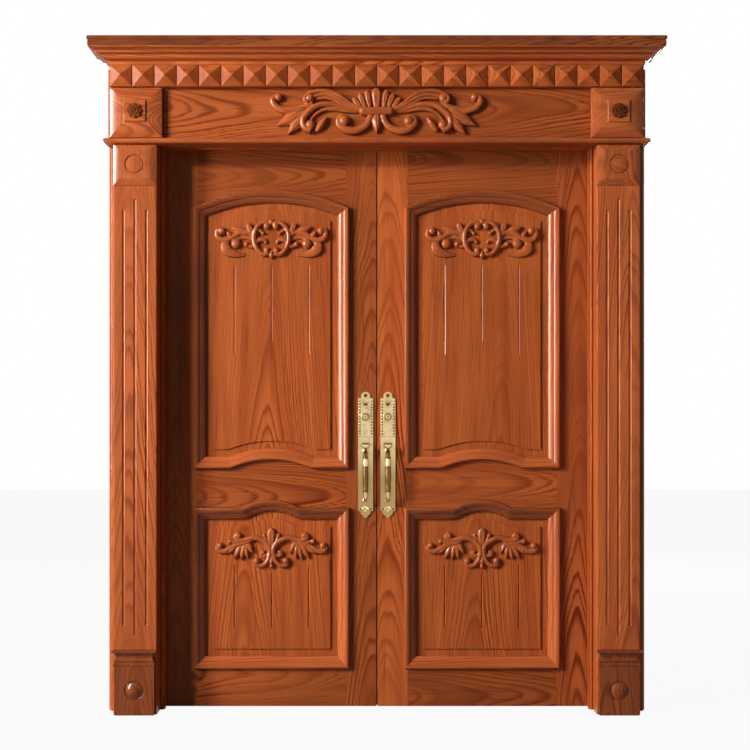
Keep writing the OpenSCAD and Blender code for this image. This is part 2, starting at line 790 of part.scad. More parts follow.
// One mitred length: section points become rings across the length's own points
module moulding_length(section, paths, face, out) {
    n = len(paths[0]);
    loft([for (j = [0:n - 1]) [for (i = [0:len(section) - 1])
        [paths[i][j][0], face + out * section[i][1], paths[i][j][1]]]]);
}

module upper_moulding(side) {
    front = roll_section();
    back = flip(bead_section());
    front_paths = [for (p = front) upper_lengths(p[0])];
    back_paths = [for (p = back) upper_lengths(p[0])];
    color(wood) place(side) translate([panel_c, 0, 0]) for (k = [0:3]) {
        moulding_length(front, [for (p = front_paths) p[k]], leaf_f, -1);
        moulding_length(back, [for (p = back_paths) p[k]], leaf_b, 1);
    }
}

module lower_moulding(side) {
    front = roll_section();
    back = flip(bead_section());
    front_paths = [for (p = front) lower_lengths(p[0])];
    back_paths = [for (p = back) lower_lengths(p[0])];
    color(wood) place(side) translate([panel_c, 0, 0]) for (k = [0:3]) {
        moulding_length(front, [for (p = front_paths) p[k]], leaf_f, -1);
        moulding_length(back, [for (p = back_paths) p[k]], leaf_b, 1);
    }
}

// Smooth curve through hand-chosen points
function blend(a, b, c, d, t) = 0.5 * (2 * b + (c - a) * t + (2 * a - 5 * b + 4 * c - d) * t * t
    + (3 * b - a - 3 * c + d) * t * t * t);
function curve(p, k) = let (n = len(p) - 1) concat([for (i = [0:n - 1], j = [0:k - 1])
    blend(p[max(i - 1, 0)], p[i], p[i + 1], p[min(i + 2, n)], j / k)], [p[n]]);

// Carved stem with a rounded ridge, from half width w0 to w1
module strand(points, w0, w1, rise) {
    c = curve(points, abs(len(points) - 3.5) < 1 ? 2 : 1);
    n = len(c) - 1;
    section = [[1, 0], [-1, 0], [-0.45, 1], [0.45, 1]];
    loft([for (i = [0:n]) let (t = c[min(i + 1, n)] - c[max(i - 1, 0)], u = t / norm(t),
        f = i / n, w = w0 + (w1 - w0) * f, h = rise * (0.55 + 0.45 * sin(180 * min(f + 0.15, 0.9))))
        [for (s = section) [c[i][0] - u[1] * w * s[0], c[i][1] + u[0] * w * s[0], h * s[1]]]]);
}

// Round eye of a scroll
module boss(p, r, rise) {
    translate([p[0], p[1], 0]) rotate_extrude($fn = 7)
        polygon([[0, 0], [r, 0], [r * 0.72, rise * 0.75], [0, rise]]);
}

// Pointed leaf, widest at its middle
module leaflet(from, to, w, rise) {
    m = from + (to - from) * 0.45;
    hull() {
        translate(from) cylinder(r1 = w * 0.5, r2 = w * 0.2, h = rise * 0.75, $fn = 4);
        translate(m) cylinder(r1 = w, r2 = w * 0.25, h = rise, $fn = 5);
        translate(to) cylinder(r = 1, h = rise * 0.25, $fn = 3);
    }
}

module both_halves() {
    children();
    mirror([1, 0, 0]) children();
}

module frieze_ornament() {
    h = frieze_relief;
    hull() for (x = [-51, 51]) boss([x, 0], 15, h);
    leaflet([0, 12], [0, 85], 18, h);
    leaflet([0, -12], [0, -77], 13.5, h * 0.8);
    both_halves() {
        leaflet([32, 10], [45, 74], 9, h * 0.8);
        leaflet([46, 10], [67, 61], 9, h * 0.75);
        leaflet([62, 8], [89, 50], 9, h * 0.7);
        strand([[24, -8], [37, -44], [63, -66], [99, -75], [129, -59], [138, -37], [125, -20]],
            8, 9, h * 0.8);
        boss([120, -36], 15, h);
        strand([[62, 2], [99, 15], [129, 40], [162, 63], [203, 74], [239, 70], [260, 55], [256, 37]],
            6, 10, h);
        boss([247, 47], 14, h);
        strand([[74, 3], [136, 29], [181, 50], [217, 48], [236, 39]], 6, 6, h * 0.8);
        strand([[80, 2], [144, 18], [188, 29], [225, 24], [258, 7], [276, -18], [281, -42],
            [273, -64], [254, -70]], 8, 9, h * 0.9);
        boss([246, -50], 15, h);
        strand([[70, -3], [155, 9], [203, 12], [232, -4], [254, -28]], 6, 5, h * 0.6);
        strand([[236, 33], [273, 15], [313, 5], [350, 7], [374, 22], [383, 40], [372, 55], [356, 53]],
            8, 7, h * 0.8);
        boss([361, 44], 11, h * 0.8);
        leaflet([268, -2], [367, -55], 15, h * 0.7);
        leaflet([278, -24], [326, -83], 12, h * 0.6);
        leaflet([188, 8], [227, -72], 11, h * 0.6);
    }
}

module upper_ornament() {
    h = panel_relief;
    boss([0, 66], 8, h * 0.7);
    boss([0, -64], 8, h * 0.7);
    both_halves() {
        strand([[17, 46], [23, 58], [46, 51], [60, 30], [64, 4], [59, -23], [46, -45], [29, -57],
            [14, -52]], 8, 8, h);
        boss([16, 46], 10, h);
        boss([16, -42], 10, h);
        strand([[16, 50], [0, 66]], 7, 7, h * 0.6);
        strand([[16, -46], [0, -64]], 7, 7, h * 0.6);
        strand([[57, 23], [48, 30], [35, 23]], 7, 6, h * 0.7);
        strand([[56, -26], [46, -9], [27, -6], [14, -15]], 7, 6, h * 0.7);
        strand([[63, 9], [87, 23], [117, 21], [148, 6], [170, -6], [193, 0], [204, 19], [200, 36],
            [186, 39]], 9, 8, h);
        boss([184, 30], 10, h);
        leaflet([110, 20], [148, 41], 8, h * 0.7);
        leaflet([66, 16], [86, 50], 9, h * 0.7);
        leaflet([158, -2], [166, 24], 7, h * 0.7);
        strand([[68, -2], [95, 6], [121, 9], [136, -6], [138, -28]], 8, 11, h * 0.8);
        strand([[160, -8], [176, -24], [162, -54], [136, -65], [95, -64]], 12, 5, h * 0.9);
        boss([154, -26], 11, h);
        strand([[62, -20], [72, -28], [86, -26]], 7, 7, h * 0.7);
        boss([93, -21], 8, h * 0.8);
    }
}

module lower_ornament() {
    h = panel_relief;
    leaflet([0, 4], [0, 71], 15, h);
    leaflet([0, -36], [0, -73], 9, h * 0.7);
    both_halves() {
        leaflet([4, 20], [28, 50], 9, h * 0.7);
        strand([[56, -50], [55, -62], [38, -67], [19, -53], [7, -28], [6, -4], [19, 17], [41, 31],
            [72, 36], [98, 28], [119, 26], [131, 39], [126, 51]], 8, 8, h);
        boss([54, -50], 11, h);
        boss([122, 50], 8, h * 0.8);
        strand([[8, -20], [22, -25], [32, -12]], 7, 6, h * 0.7);
        strand([[80, 32], [124, 11], [151, 0], [177, -13], [196, -11], [203, 3]], 9, 8, h * 0.9);
        boss([193, 5], 11, h);
        strand([[76, 30], [102, 16], [128, 20], [146, 25]], 8, 7, h * 0.8);
        boss([152, 23], 8, h * 0.8);
        leaflet([106, 16], [130, -36], 13, h * 0.8);
        leaflet([98, 18], [92, -34], 11, h * 0.7);
        leaflet([94, 20], [80, -12], 9, h * 0.6);
    }
}

module frieze_carving() {
    color(wood) place() translate([0, frieze_f, frieze_carving_z]) rotate([90, 0, 0])
        scale([frieze_scale, frieze_scale, 1]) frieze_ornament();
}

module upper_carving(side) {
    color(wood) place(side) translate([panel_c, field_f, upper_carving_z]) rotate([90, 0, 0])
        scale([ornament_scale, ornament_scale, 1]) upper_ornament();
}

module lower_carving(side) {
    color(wood) place(side) translate([panel_c, field_f, lower_carving_z]) rotate([90, 0, 0])
        scale([ornament_scale, ornament_scale, 1]) lower_ornament();
}

// Outline of a handle plate with its loop above and its point below
module plate_outline() {
    z1 = plate_z0 + plate_h;
    translate([handle_x - plate_w / 2, plate_z0]) square([plate_w, plate_h]);
    translate([handle_x, z1 + 6]) circle(17);
    translate([handle_x, plate_z0]) circle(20);
    translate([handle_x, plate_z0 - 18]) circle(8);
}

module plate_body(y0, y1) {
    translate([0, y1, 0]) rotate([90, 0, 0]) linear_extrude(y1 - y0) difference() {
        plate_outline();
        translate([handle_x, plate_z0 + plate_h + 9]) circle(7);
    }
}

module handle_plate(side) {
    band_w = plate_w - 18;
    cheek = 4;
    cheek_x = 7 + seat_clear;
    band_z1 = plate_z0 + plate_h - 18;
    color(brass) place(side) difference() {
        union() {
            plate_body(plate_f, leaf_f);
            box(handle_x - band_w / 2, handle_x + band_w / 2, plate_f - 2, plate_f, thumb_z + 30, band_z1);
            rod_y(handle_x, key_z, 13, plate_f - 5, plate_f);
            if (side < 0) rod_y(handle_x, key_z, key_r, plate_f - 7, plate_f);
            for (s = [-1, 1])
                translate([handle_x + s * (cheek_x + cheek / 2), 0, 0])
                    box(-cheek / 2, cheek / 2, pivot_y - 6, plate_f, thumb_z - 8, thumb_z + 8);
        }
        box(handle_x - 7, handle_x + 7, plate_f - 1, leaf_f + 1, thumb_z - 14, thumb_z + 14);
        rod_x(pivot_y, thumb_z, thumb_pin_r + run_clear, handle_x - plate_w, handle_x + plate_w);
        if (side > 0) rod_y(handle_x, key_z, key_r + run_clear, plate_f - 6, leaf_f + 1);
    }
}

// Bow grip: two round feet, two bends and a turned bar between them
module grip(side) {
    bar_z0 = grip_z0 + grip_bend;
    bar_z1 = grip_z1 - grip_bend;
    bar_h = bar_z1 - bar_z0;
    foot = grip_reach - grip_bend;
    color(brass) place(side) translate([handle_x, 0, 0]) {
        for (end = [[grip_z0, 1], [grip_z1, -1]]) {
            rod_y(0, end[0], grip_r, plate_f - foot, plate_f);
            rod_y(0, end[0], grip_r + 4, plate_f - 4, plate_f);
            translate([0, plate_f - foot, end[0] + end[1] * grip_bend]) rotate([0, 90, 0])
                rotate_extrude(angle = 90, start = end[1] > 0 ? 270 : 180)
                    translate([grip_bend, 0]) circle(grip_r);
        }
        translate([0, grip_y, bar_z0]) rotate_extrude()
            polygon(concat([[0, 0], [grip_r, 0], [grip_r + 3, 4], [grip_r + 3, 9], [grip_r, 13]],
                [for (i = [1:5]) [grip_r + 2.5 * sin(30 * i), 13 + (bar_h - 26) * i / 6]],
                [[grip_r, bar_h - 13], [grip_r + 3, bar_h - 9], [grip_r + 3, bar_h - 4],
                    [grip_r, bar_h], [0, bar_h]]));
    }
}

// Thumb piece on its cross pin, with a tail that reaches to the lock
module thumb_lever(side) {
    tail_end = leaf_mid - case_t / 2 - 1;
    color(brass) place(side) translate([handle_x, 0, 0]) {
        rod_x(pivot_y, thumb_z, 5, -7, 7);
        rod_x(pivot_y, thumb_z, thumb_pin_r, -11, 11);
        box(-5, 5, pivot_y, tail_end, thumb_z - 3, thumb_z + 3);
        box(-6, 6, pivot_y - 14, pivot_y, thumb_z - 2, thumb_z + 2);
        slab(concat([[-6, thumb_z - 2]], [[6, thumb_z - 2], [13, thumb_z - 1], [13, thumb_z + 3],
            [6, thumb_z + 2], [-6, thumb_z + 2], [-13, thumb_z + 3], [-13, thumb_z - 1]]),
            pivot_y - 36, pivot_y - 12);
    }
}

module knob_shape(y0) {
    translate([handle_x, y0, thumb_z]) rotate([-90, 0, 0]) rotate_extrude()
        polygon(concat([[0, 0], [knob_neck_r, 0], [knob_neck_r, 6], [13, 8], [13, 12], [9, 16], [9, 22]],
            arc([0, knob_len - 17], knob_r, -28, 40, 8), [[0, knob_len]]));
}

module inside_plate(side) {
    color(brass) place(side) difference() {
        union() {
            plate_body(leaf_b, plate_b);
            if (side < 0) knob_shape(plate_b);
        }
        if (side > 0) {
            rod_y(handle_x, key_z, key_r + run_clear, leaf_b - 1, plate_b + 1);
            rod_y(handle_x, thumb_z, knob_neck_r + run_clear, leaf_b - 1, plate_b + 1);
        }
    }
}

module inside_knob() {
    hub = leaf_mid + 2;
    color(brass) place() {
        knob_shape(plate_b);
        rod_y(handle_x, thumb_z, knob_neck_r, leaf_mid + case_t / 2, plate_b);
        rod_y(handle_x, thumb_z, 5, hub, leaf_mid + case_t / 2);
    }
}

// Plug, tail and inside turn, which turn together
module key_cylinder() {
    slot_y = plate_f - 7;
    color(brass) place() {
        difference() {
            rod_y(handle_x, key_z, key_r, slot_y, plate_b + 4);
            box(handle_x - 1, handle_x + 1, slot_y - 1, slot_y + 8, key_z - 5, key_z + 4);
        }
        translate([handle_x, plate_b + 4, key_z]) rotate([-90, 0, 0])
            linear_extrude(14) square([8, 30], center = true);
    }
}

module lock_case() {
    color(steel) place() difference() {
        union() {
            box(leaf_x0 + forend_t, leaf_x0 + forend_t + case_d, leaf_mid - case_t / 2,
                leaf_mid + case_t / 2, case_z0, case_z1);
            box(leaf_x0, leaf_x0 + forend_t, leaf_mid - forend_w / 2, leaf_mid + forend_w / 2,
                forend_z0, forend_z1);
        }
        bolt_space(latch_z, latch_h, latch_l + 4, seat_clear);
        bolt_space(dead_z, dead_h, dead_l + 4, seat_clear);
        rod_y(handle_x, key_z, key_r + run_clear, leaf_f, leaf_b);
        rod_y(handle_x, thumb_z, 5 + run_clear, leaf_mid + 1, leaf_b);
    }
}

module latch_bolt() {
    x0 = leaf_x0 + 0.2;
    half = bolt_t / 2;
    color(steel) place()
        along_z([[x0 + 9, leaf_mid - half], [x0, leaf_mid + half], [x0 + latch_l, leaf_mid + half],
            [x0 + latch_l, leaf_mid - half]], latch_z - latch_h / 2, latch_z + latch_h / 2);
}

module dead_bolt() {
    x0 = leaf_x0 + 0.2;
    color(steel) place()
        box(x0, x0 + dead_l, leaf_mid - bolt_t / 2, leaf_mid + bolt_t / 2, dead_z - dead_h / 2,
            dead_z + dead_h / 2);
}

module strike_plate() {
    color(steel) place(-1) difference() {
        box(leaf_x0, leaf_x0 + forend_t, leaf_mid - forend_w / 2, leaf_mid + forend_w / 2,
            forend_z0, forend_z1);
        bolt_space(latch_z, latch_h, latch_pocket_d, pocket_clear);
        bolt_space(dead_z, dead_h, dead_pocket_d, pocket_clear);
    }
}

jamb(-1);  // left_jamb
jamb(1);  // right_jamb
head_jamb();
casing(-1);  // left_casing
casing(1);  // right_casing
head_casing();
pilaster(-1);  // left_pilaster
pilaster(1);  // right_pilaster
plinth_block(-1);  // left_plinth_block
plinth_block(1);  // right_plinth_block
capital_block(-1);  // left_capital_block
capital_block(1);  // right_capital_block
architrave_bead();
frieze_board();
frieze_carving();
corner_block(-1);  // left_corner_block
corner_block(1);  // right_corner_block
corner_rosettes();
pyramid_band();
cornice();
back_casing();
frame_hinges();
hinge_stile(-1);  // left_hinge_stile
lock_stile(-1);  // left_lock_stile
top_rail(-1);  // left_top_rail
lock_rail(-1);  // left_lock_rail
bottom_rail(-1);  // left_bottom_rail
upper_panel(-1);  // left_upper_panel
lower_panel(-1);  // left_lower_panel
upper_moulding(-1);  // left_upper_moulding
lower_moulding(-1);  // left_lower_moulding
upper_carving(-1);  // left_upper_carving
lower_carving(-1);  // left_lower_carving
leaf_hinges(-1);  // left_leaf_hinges
handle_plate(-1);  // left_handle_plate
grip(-1);  // left_grip
thumb_lever(-1);  // left_thumb_lever
inside_plate(-1);  // left_inside_plate
strike_plate();
hinge_stile(1);  // right_hinge_stile
lock_stile(1);  // right_lock_stile
top_rail(1);  // right_top_rail
lock_rail(1);  // right_lock_rail
bottom_rail(1);  // right_bottom_rail
upper_panel(1);  // right_upper_panel
lower_panel(1);  // right_lower_panel
upper_moulding(1);  // right_upper_moulding
lower_moulding(1);  // right_lower_moulding
upper_carving(1);  // right_upper_carving
lower_carving(1);  // right_lower_carving
leaf_hinges(1);  // right_leaf_hinges
handle_plate(1);  // right_handle_plate
grip(1);  // right_grip
thumb_lever(1);  // right_thumb_lever
inside_plate(1);  // right_inside_plate
inside_knob();
key_cylinder();
lock_case();
latch_bolt();
dead_bolt();
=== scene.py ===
import math

import bmesh
import bpy
from mathutils import Matrix, Vector


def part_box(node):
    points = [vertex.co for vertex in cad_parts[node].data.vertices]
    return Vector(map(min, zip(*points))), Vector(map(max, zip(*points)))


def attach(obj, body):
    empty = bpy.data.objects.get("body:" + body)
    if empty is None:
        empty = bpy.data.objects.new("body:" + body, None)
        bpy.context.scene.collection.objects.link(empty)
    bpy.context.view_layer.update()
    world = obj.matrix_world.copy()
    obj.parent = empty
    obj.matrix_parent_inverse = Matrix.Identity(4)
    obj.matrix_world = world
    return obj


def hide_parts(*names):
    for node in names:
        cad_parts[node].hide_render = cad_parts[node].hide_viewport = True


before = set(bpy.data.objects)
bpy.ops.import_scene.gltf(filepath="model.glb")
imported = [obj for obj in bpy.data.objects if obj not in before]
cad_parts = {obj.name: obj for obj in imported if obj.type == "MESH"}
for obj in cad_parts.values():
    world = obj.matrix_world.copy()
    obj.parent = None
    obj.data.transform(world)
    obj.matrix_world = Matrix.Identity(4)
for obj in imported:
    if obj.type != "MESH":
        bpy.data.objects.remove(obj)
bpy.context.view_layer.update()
scene = bpy.context.scene
mm = 0.001


def toLinear(colour):
    parts = [int(colour[i:i + 2], 16) / 255 for i in (1, 3, 5)]
    return [c / 12.92 if c <= 0.04045 else ((c + 0.055) / 1.055) ** 2.4 for c in parts] + [1]


def addNode(tree, kind, links=None, **settings):
    node = tree.nodes.new(kind)
    for name, value in settings.items():
        setattr(node, name, value)
    for socket, value in (links or {}).items():
        if isinstance(value, bpy.types.NodeSocket):
            tree.links.new(value, node.inputs[socket])
        else:
            node.inputs[socket].default_value = value
    return node


def emptyTree(owner):
    owner.use_nodes = True
    owner.node_tree.nodes.clear()
    return owner.node_tree


# camera level and in front of the meeting stiles, as in the photo
view = {"lensMm": 57.36, "sensorMm": 36, "place": (0, -4.461, 1.007), "shift": (-0.0024, 0.0867)}
cameraData = bpy.data.cameras.new("viewCamera")
cameraData.lens = view["lensMm"]
cameraData.sensor_width = view["sensorMm"]
cameraData.shift_x, cameraData.shift_y = view["shift"]
camera = bpy.data.objects.new("viewCamera", cameraData)
camera.location = view["place"]
camera.rotation_euler = (math.pi / 2, 0, 0)
scene.collection.objects.link(camera)
scene.camera = camera
scene.view_settings.view_transform = "Standard"
print("camera set")

# stained ash, planed and sprayed with satin lacquer: arched growth rings, open pores, a warm red brown
ash = {
    "light": "#bd612e", "dark": "#682509", "red": "#94401c", "pore": "#4a1c0c", "glazeAndShade": "#2c0e06",
    "ringMm": 6.5, "taper": 0.055, "warpMm": 16, "ragged": 0.5,
    "warpPerM": (5.5, 5.5, 1.5),            # waves 180 mm across the grain and 670 mm along it
    "driftPerM": (26, 26, 1.3),             # redder streaks 38 mm wide and 770 mm long
    "year": ((0.0, 0.1), (1.0, 0.12), (0.5, 0.16), (0.82, 0.72), (0.93, 0.6)),   # start, end, then late wood
    "seasons": (0.35, 3.5),                 # fat years and lean years
    "ringStrength": (0.2, 0.95), "redShare": 0.6, "poreShare": 0.6, "shade": (0.8, 1.2),
    "poreMm": 4, "poreLengthMm": 260,       # real pores are 0.3 mm wide: drawn wide enough to show
    "roughness": (0.35, 0.52), "specular": 0.03, "bump": 0.35, "bumpMm": 0.2,
    "coat": 0.1, "coatRoughness": 0.13, "coatIor": 1.4,
    "rubbedCoat": 0.32, "rubbedRoughness": 0.2,      # mouldings and carvings are rubbed to a higher gloss
    # painted shade, in creases and in the ground of a carving
    "creaseShadeMm": 7, "creaseShadeShare": 0.85, "groundShadeShare": 0.75,
}


def stainedAsh(name, heart, flat=False, tone=0.0, groundShadeDepth=None, figure=1.0, rubbedAndCreaseShaded=False, coat=ash["coat"]):
    material = bpy.data.materials.new(name)
    tree = emptyTree(material)
    place = addNode(tree, "ShaderNodeTexCoord").outputs["Object"]
    # the tree's heart is the origin, and its trunk runs along local Z
    trunk = addNode(tree, "ShaderNodeMapping", {
        "Vector": place, "Location": heart, "Rotation": (0, math.pi / 2 if flat else 0, 0)},
        vector_type="TEXTURE").outputs["Vector"]
    stretched = addNode(tree, "ShaderNodeVectorMath", {0: trunk, 1: ash["warpPerM"]},
                        operation="MULTIPLY").outputs[0]
    warp = addNode(tree, "ShaderNodeTexNoise", {"Vector": stretched, "Scale": 1.0, "Detail": 2.0})
    shift = addNode(tree, "ShaderNodeVectorMath", {
        0: warp.outputs["Color"], 1: (0.5, 0.5, 0.5)}, operation="SUBTRACT").outputs[0]
    bent = addNode(tree, "ShaderNodeVectorMath", {
        0: shift, 1: (ash["warpMm"] * 2 * mm,) * 2 + (0.0,), 2: trunk},
        operation="MULTIPLY_ADD").outputs[0]
    across = addNode(tree, "ShaderNodeVectorMath", {0: bent, 1: (1, 1, 0)},
                     operation="MULTIPLY").outputs[0]
    radius = addNode(tree, "ShaderNodeVectorMath", {0: across}, operation="LENGTH").outputs["Value"]
    height = addNode(tree, "ShaderNodeSeparateXYZ", {0: trunk}).outputs["Z"]
    cone = addNode(tree, "ShaderNodeMath", {0: height, 1: ash["taper"], 2: radius},
                   operation="MULTIPLY_ADD").outputs[0]
    fibre = addNode(tree, "ShaderNodeVectorMath", {
        0: trunk, 1: (1 / (ash["poreMm"] * mm),) * 2 + (1 / (ash["poreLengthMm"] * mm),)},
        operation="MULTIPLY").outputs[0]
    streak = addNode(tree, "ShaderNodeTexNoise", {
        "Vector": fibre, "Scale": 1.0, "Detail": 3.0, "Roughness": 0.65}).outputs["Fac"]
    ragged = addNode(tree, "ShaderNodeMath", {0: streak, 1: ash["ragged"] * ash["ringMm"] * mm, 2: cone},
                     operation="MULTIPLY_ADD").outputs[0]
    rings = addNode(tree, "ShaderNodeMath", {0: ragged, 1: 1 / (ash["ringMm"] * mm)},
                    operation="MULTIPLY").outputs[0]
    seasons = addNode(tree, "ShaderNodeTexNoise", {"W": rings, "Scale": ash["seasons"][0], "Detail": 1.0},
                      noise_dimensions="1D").outputs["Fac"]
    rings = addNode(tree, "ShaderNodeMath", {0: seasons, 1: ash["seasons"][1], 2: rings},
                    operation="MULTIPLY_ADD").outputs[0]
    year = addNode(tree, "ShaderNodeMath", {0: rings}, operation="FRACT").outputs[0]
    late = addNode(tree, "ShaderNodeValToRGB", {0: year})
    marks = late.color_ramp.elements
    for i, (position, value) in enumerate(ash["year"]):
        mark = marks[i] if i < 2 else marks.new(position)
        mark.position, mark.color = position, (value, value, value, 1)
    patch = addNode(tree, "ShaderNodeTexNoise", {"Vector": stretched, "Scale": 0.9, "Detail": 1.0})
    strength = addNode(tree, "ShaderNodeMapRange", {
        0: patch.outputs["Fac"], 1: 0.3, 2: 0.7, 3: ash["ringStrength"][0] * figure,
        4: ash["ringStrength"][1] * figure}).outputs[0]
    grain = addNode(tree, "ShaderNodeMath", {0: late.outputs["Color"], 1: strength},
                    operation="MULTIPLY").outputs[0]
    wood = addNode(tree, "ShaderNodeMix", {
        "Factor": grain, 6: toLinear(ash["light"]), 7: toLinear(ash["dark"])},
        data_type="RGBA").outputs[2]
    broad = addNode(tree, "ShaderNodeVectorMath", {0: trunk, 1: ash["driftPerM"]},
                    operation="MULTIPLY").outputs[0]
    drift = addNode(tree, "ShaderNodeTexNoise", {"Vector": broad, "Scale": 1.0, "Detail": 2.0}).outputs["Fac"]
    redder = addNode(tree, "ShaderNodeMapRange", {
        0: drift, 1: 0.42, 2: 0.7, 3: 0.0, 4: ash["redShare"]}).outputs[0]
    wood = addNode(tree, "ShaderNodeMix", {
        "Factor": redder, 6: wood, 7: toLinear(ash["red"])}, data_type="RGBA").outputs[2]
    pores = addNode(tree, "ShaderNodeMapRange", {
        0: streak, 1: 0.56, 2: 0.74, 3: 0.0, 4: ash["poreShare"]}).outputs[0]
    wood = addNode(tree, "ShaderNodeMix", {
        "Factor": pores, 6: wood, 7: toLinear(ash["pore"])}, data_type="RGBA").outputs[2]
    shade = addNode(tree, "ShaderNodeMapRange", {
        0: warp.outputs["Fac"], 1: 0.3, 2: 0.7, 3: ash["shade"][0] + tone,
        4: ash["shade"][1] + tone}).outputs[0]
    wood = addNode(tree, "ShaderNodeVectorMath", {0: wood, 3: shade}, operation="SCALE").outputs[0]
    if rubbedAndCreaseShaded:  # painted shade in the creases, over the stain and dust that stay where the rubbing doesn't reach
        nook = addNode(tree, "ShaderNodeAmbientOcclusion", {"Distance": ash["creaseShadeMm"] * mm}, samples=6)
        creaseShade = addNode(tree, "ShaderNodeMapRange", {
            0: nook.outputs["AO"], 1: 0.75, 2: 0.3, 3: 0.0, 4: ash["creaseShadeShare"]}).outputs[0]
        wood = addNode(tree, "ShaderNodeMix", {
            "Factor": creaseShade, 6: wood, 7: toLinear(ash["glazeAndShade"])}, data_type="RGBA").outputs[2]
    if groundShadeDepth:  # and painted shade in the ground of a carving, darker towards the ground
        depth = addNode(tree, "ShaderNodeSeparateXYZ", {0: place}).outputs["Y"]
        low = addNode(tree, "ShaderNodeMapRange", {
            0: depth, 1: groundShadeDepth[0], 2: groundShadeDepth[1], 3: 0.0, 4: ash["groundShadeShare"]}).outputs[0]
        wood = addNode(tree, "ShaderNodeMix", {
            "Factor": low, 6: wood, 7: toLinear(ash["glazeAndShade"])}, data_type="RGBA").outputs[2]
    bump = addNode(tree, "ShaderNodeBump", {
        "Height": streak, "Strength": ash["bump"], "Distance": ash["bumpMm"] * mm}).outputs["Normal"]
    gloss = addNode(tree, "ShaderNodeMapRange", {
        0: streak, 1: 0.3, 2: 0.8, 3: ash["roughness"][0], 4: ash["roughness"][1]}).outputs[0]
    shader = addNode(tree, "ShaderNodeBsdfPrincipled", {
        "Base Color": wood, "Roughness": gloss, "Normal": bump, "Specular IOR Level": ash["specular"],
        "Coat Weight": ash["rubbedCoat"] if rubbedAndCreaseShaded else coat,
        "Coat Roughness": ash["rubbedRoughness" if rubbedAndCreaseShaded else "coatRoughness"], "Coat IOR": ash["coatIor"]})
    addNode(tree, "ShaderNodeOutputMaterial", {"Surface": shader.outputs[0]})
    return material


# antique brass, cast and polished by hand: warm pale high spots over a brown patina
brassFinish = {
    "high": "#e6cd98", "low": "#a98752", "patina": "#3c2a14", "patchMm": 24, "nookMm": 5,
    "roughness": (0.24, 0.44), "wornShare": 0.6, "patinaShare": 0.9,
    "brownZ": (0.99, 0.86), "brownShare": 0.8,
}


def antiqueBrass(name, high, low, brownBelow=False):
    material = bpy.data.materials.new(name)
    tree = emptyTree(material)
    place = addNode(tree, "ShaderNodeTexCoord").outputs["Object"]
    patch = addNode(tree, "ShaderNodeTexNoise", {
        "Vector": place, "Scale": 1 / (brassFinish["patchMm"] * mm), "Detail": 4.0}).outputs["Fac"]
    worn = addNode(tree, "ShaderNodeMapRange", {
        0: patch, 1: 0.45, 2: 0.8, 3: 0.0, 4: brassFinish["wornShare"]}).outputs[0]
    if brownBelow:     # browner lower down, beside the grip
        height = addNode(tree, "ShaderNodeSeparateXYZ", {0: place}).outputs["Z"]
        top, bottom = brassFinish["brownZ"]
        below = addNode(tree, "ShaderNodeMapRange", {
            0: height, 1: top, 2: bottom, 3: 0.0, 4: brassFinish["brownShare"]}).outputs[0]
        worn = addNode(tree, "ShaderNodeMath", {0: worn, 1: below}, operation="MAXIMUM").outputs[0]
    colour = addNode(tree, "ShaderNodeMix", {
        "Factor": worn, 6: toLinear(high), 7: toLinear(low)}, data_type="RGBA").outputs[2]
    nook = addNode(tree, "ShaderNodeAmbientOcclusion", {"Distance": brassFinish["nookMm"] * mm}, samples=6)
    kept = addNode(tree, "ShaderNodeMapRange", {
        0: nook.outputs["AO"], 1: 0.85, 2: 0.35, 3: 0.0, 4: brassFinish["patinaShare"]}).outputs[0]
    colour = addNode(tree, "ShaderNodeMix", {
        "Factor": kept, 6: colour, 7: toLinear(brassFinish["patina"])}, data_type="RGBA").outputs[2]
    gloss = addNode(tree, "ShaderNodeMapRange", {
        0: patch, 1: 0.3, 2: 0.8, 3: brassFinish["roughness"][0], 4: brassFinish["roughness"][1]}).outputs[0]
    shader = addNode(tree, "ShaderNodeBsdfPrincipled", {
        "Base Color": colour, "Metallic": 1.0, "Roughness": gloss})
    addNode(tree, "ShaderNodeOutputMaterial", {"Surface": shader.outputs[0]})
    return material


brass = antiqueBrass("antiqueBrass", brassFinish["high"], brassFinish["low"])
# the same brass on the plates, browner lower down beside the grip
lowerBrownBrass = antiqueBrass("lowerBrownBrass", brassFinish["high"], brassFinish["low"], True)
# brass that no hand polishes: brown hollows that set off the beads; the same brown is painted shade in the
# keyhole, the thumb slot, round the key plug and in the screw holes, and a painted dark reflection on the
# grip
darkBrassAndShade = antiqueBrass("darkBrassAndShade", "#7d5c36", "#4a3420")
# brushed steel of the lock and its bolts: a cool soft grey with dull patches
steel = antiqueBrass("brushedSteel", "#a9a6a0", "#7f7c76")
print("metals mixed")

woodwork = bpy.data.collections.new("woodwork")     # what the shine lamp reaches


def addPiece(name, bm, body, slot, materials, *nodes):
    mesh = bpy.data.meshes.new(name)
    bm.to_mesh(mesh)
    bm.free()
    if mesh.attributes.get("custom_normal"):
        mesh.attributes.remove(mesh.attributes["custom_normal"])
    for material in materials:
        mesh.materials.append(material)
    piece = bpy.data.objects.new(name, mesh)
    scene.collection.objects.link(piece)
    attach(piece, body)
    if slot == "wood":
        woodwork.objects.link(piece)
    if nodes:
        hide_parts(*nodes)
    return piece


def shadeByAngle(bm, degrees):
    limit = math.radians(degrees)
    for face in bm.faces:
        face.smooth = True
    for edge in bm.edges:
        edge.smooth = len(edge.link_faces) == 2 and edge.calc_face_angle(0) < limit


easing = {"mergeMm": 0.01, "flatAngle": 0.3, "smoothAngle": 28, "bevelAngle": 32, "skinMm": 0.1}


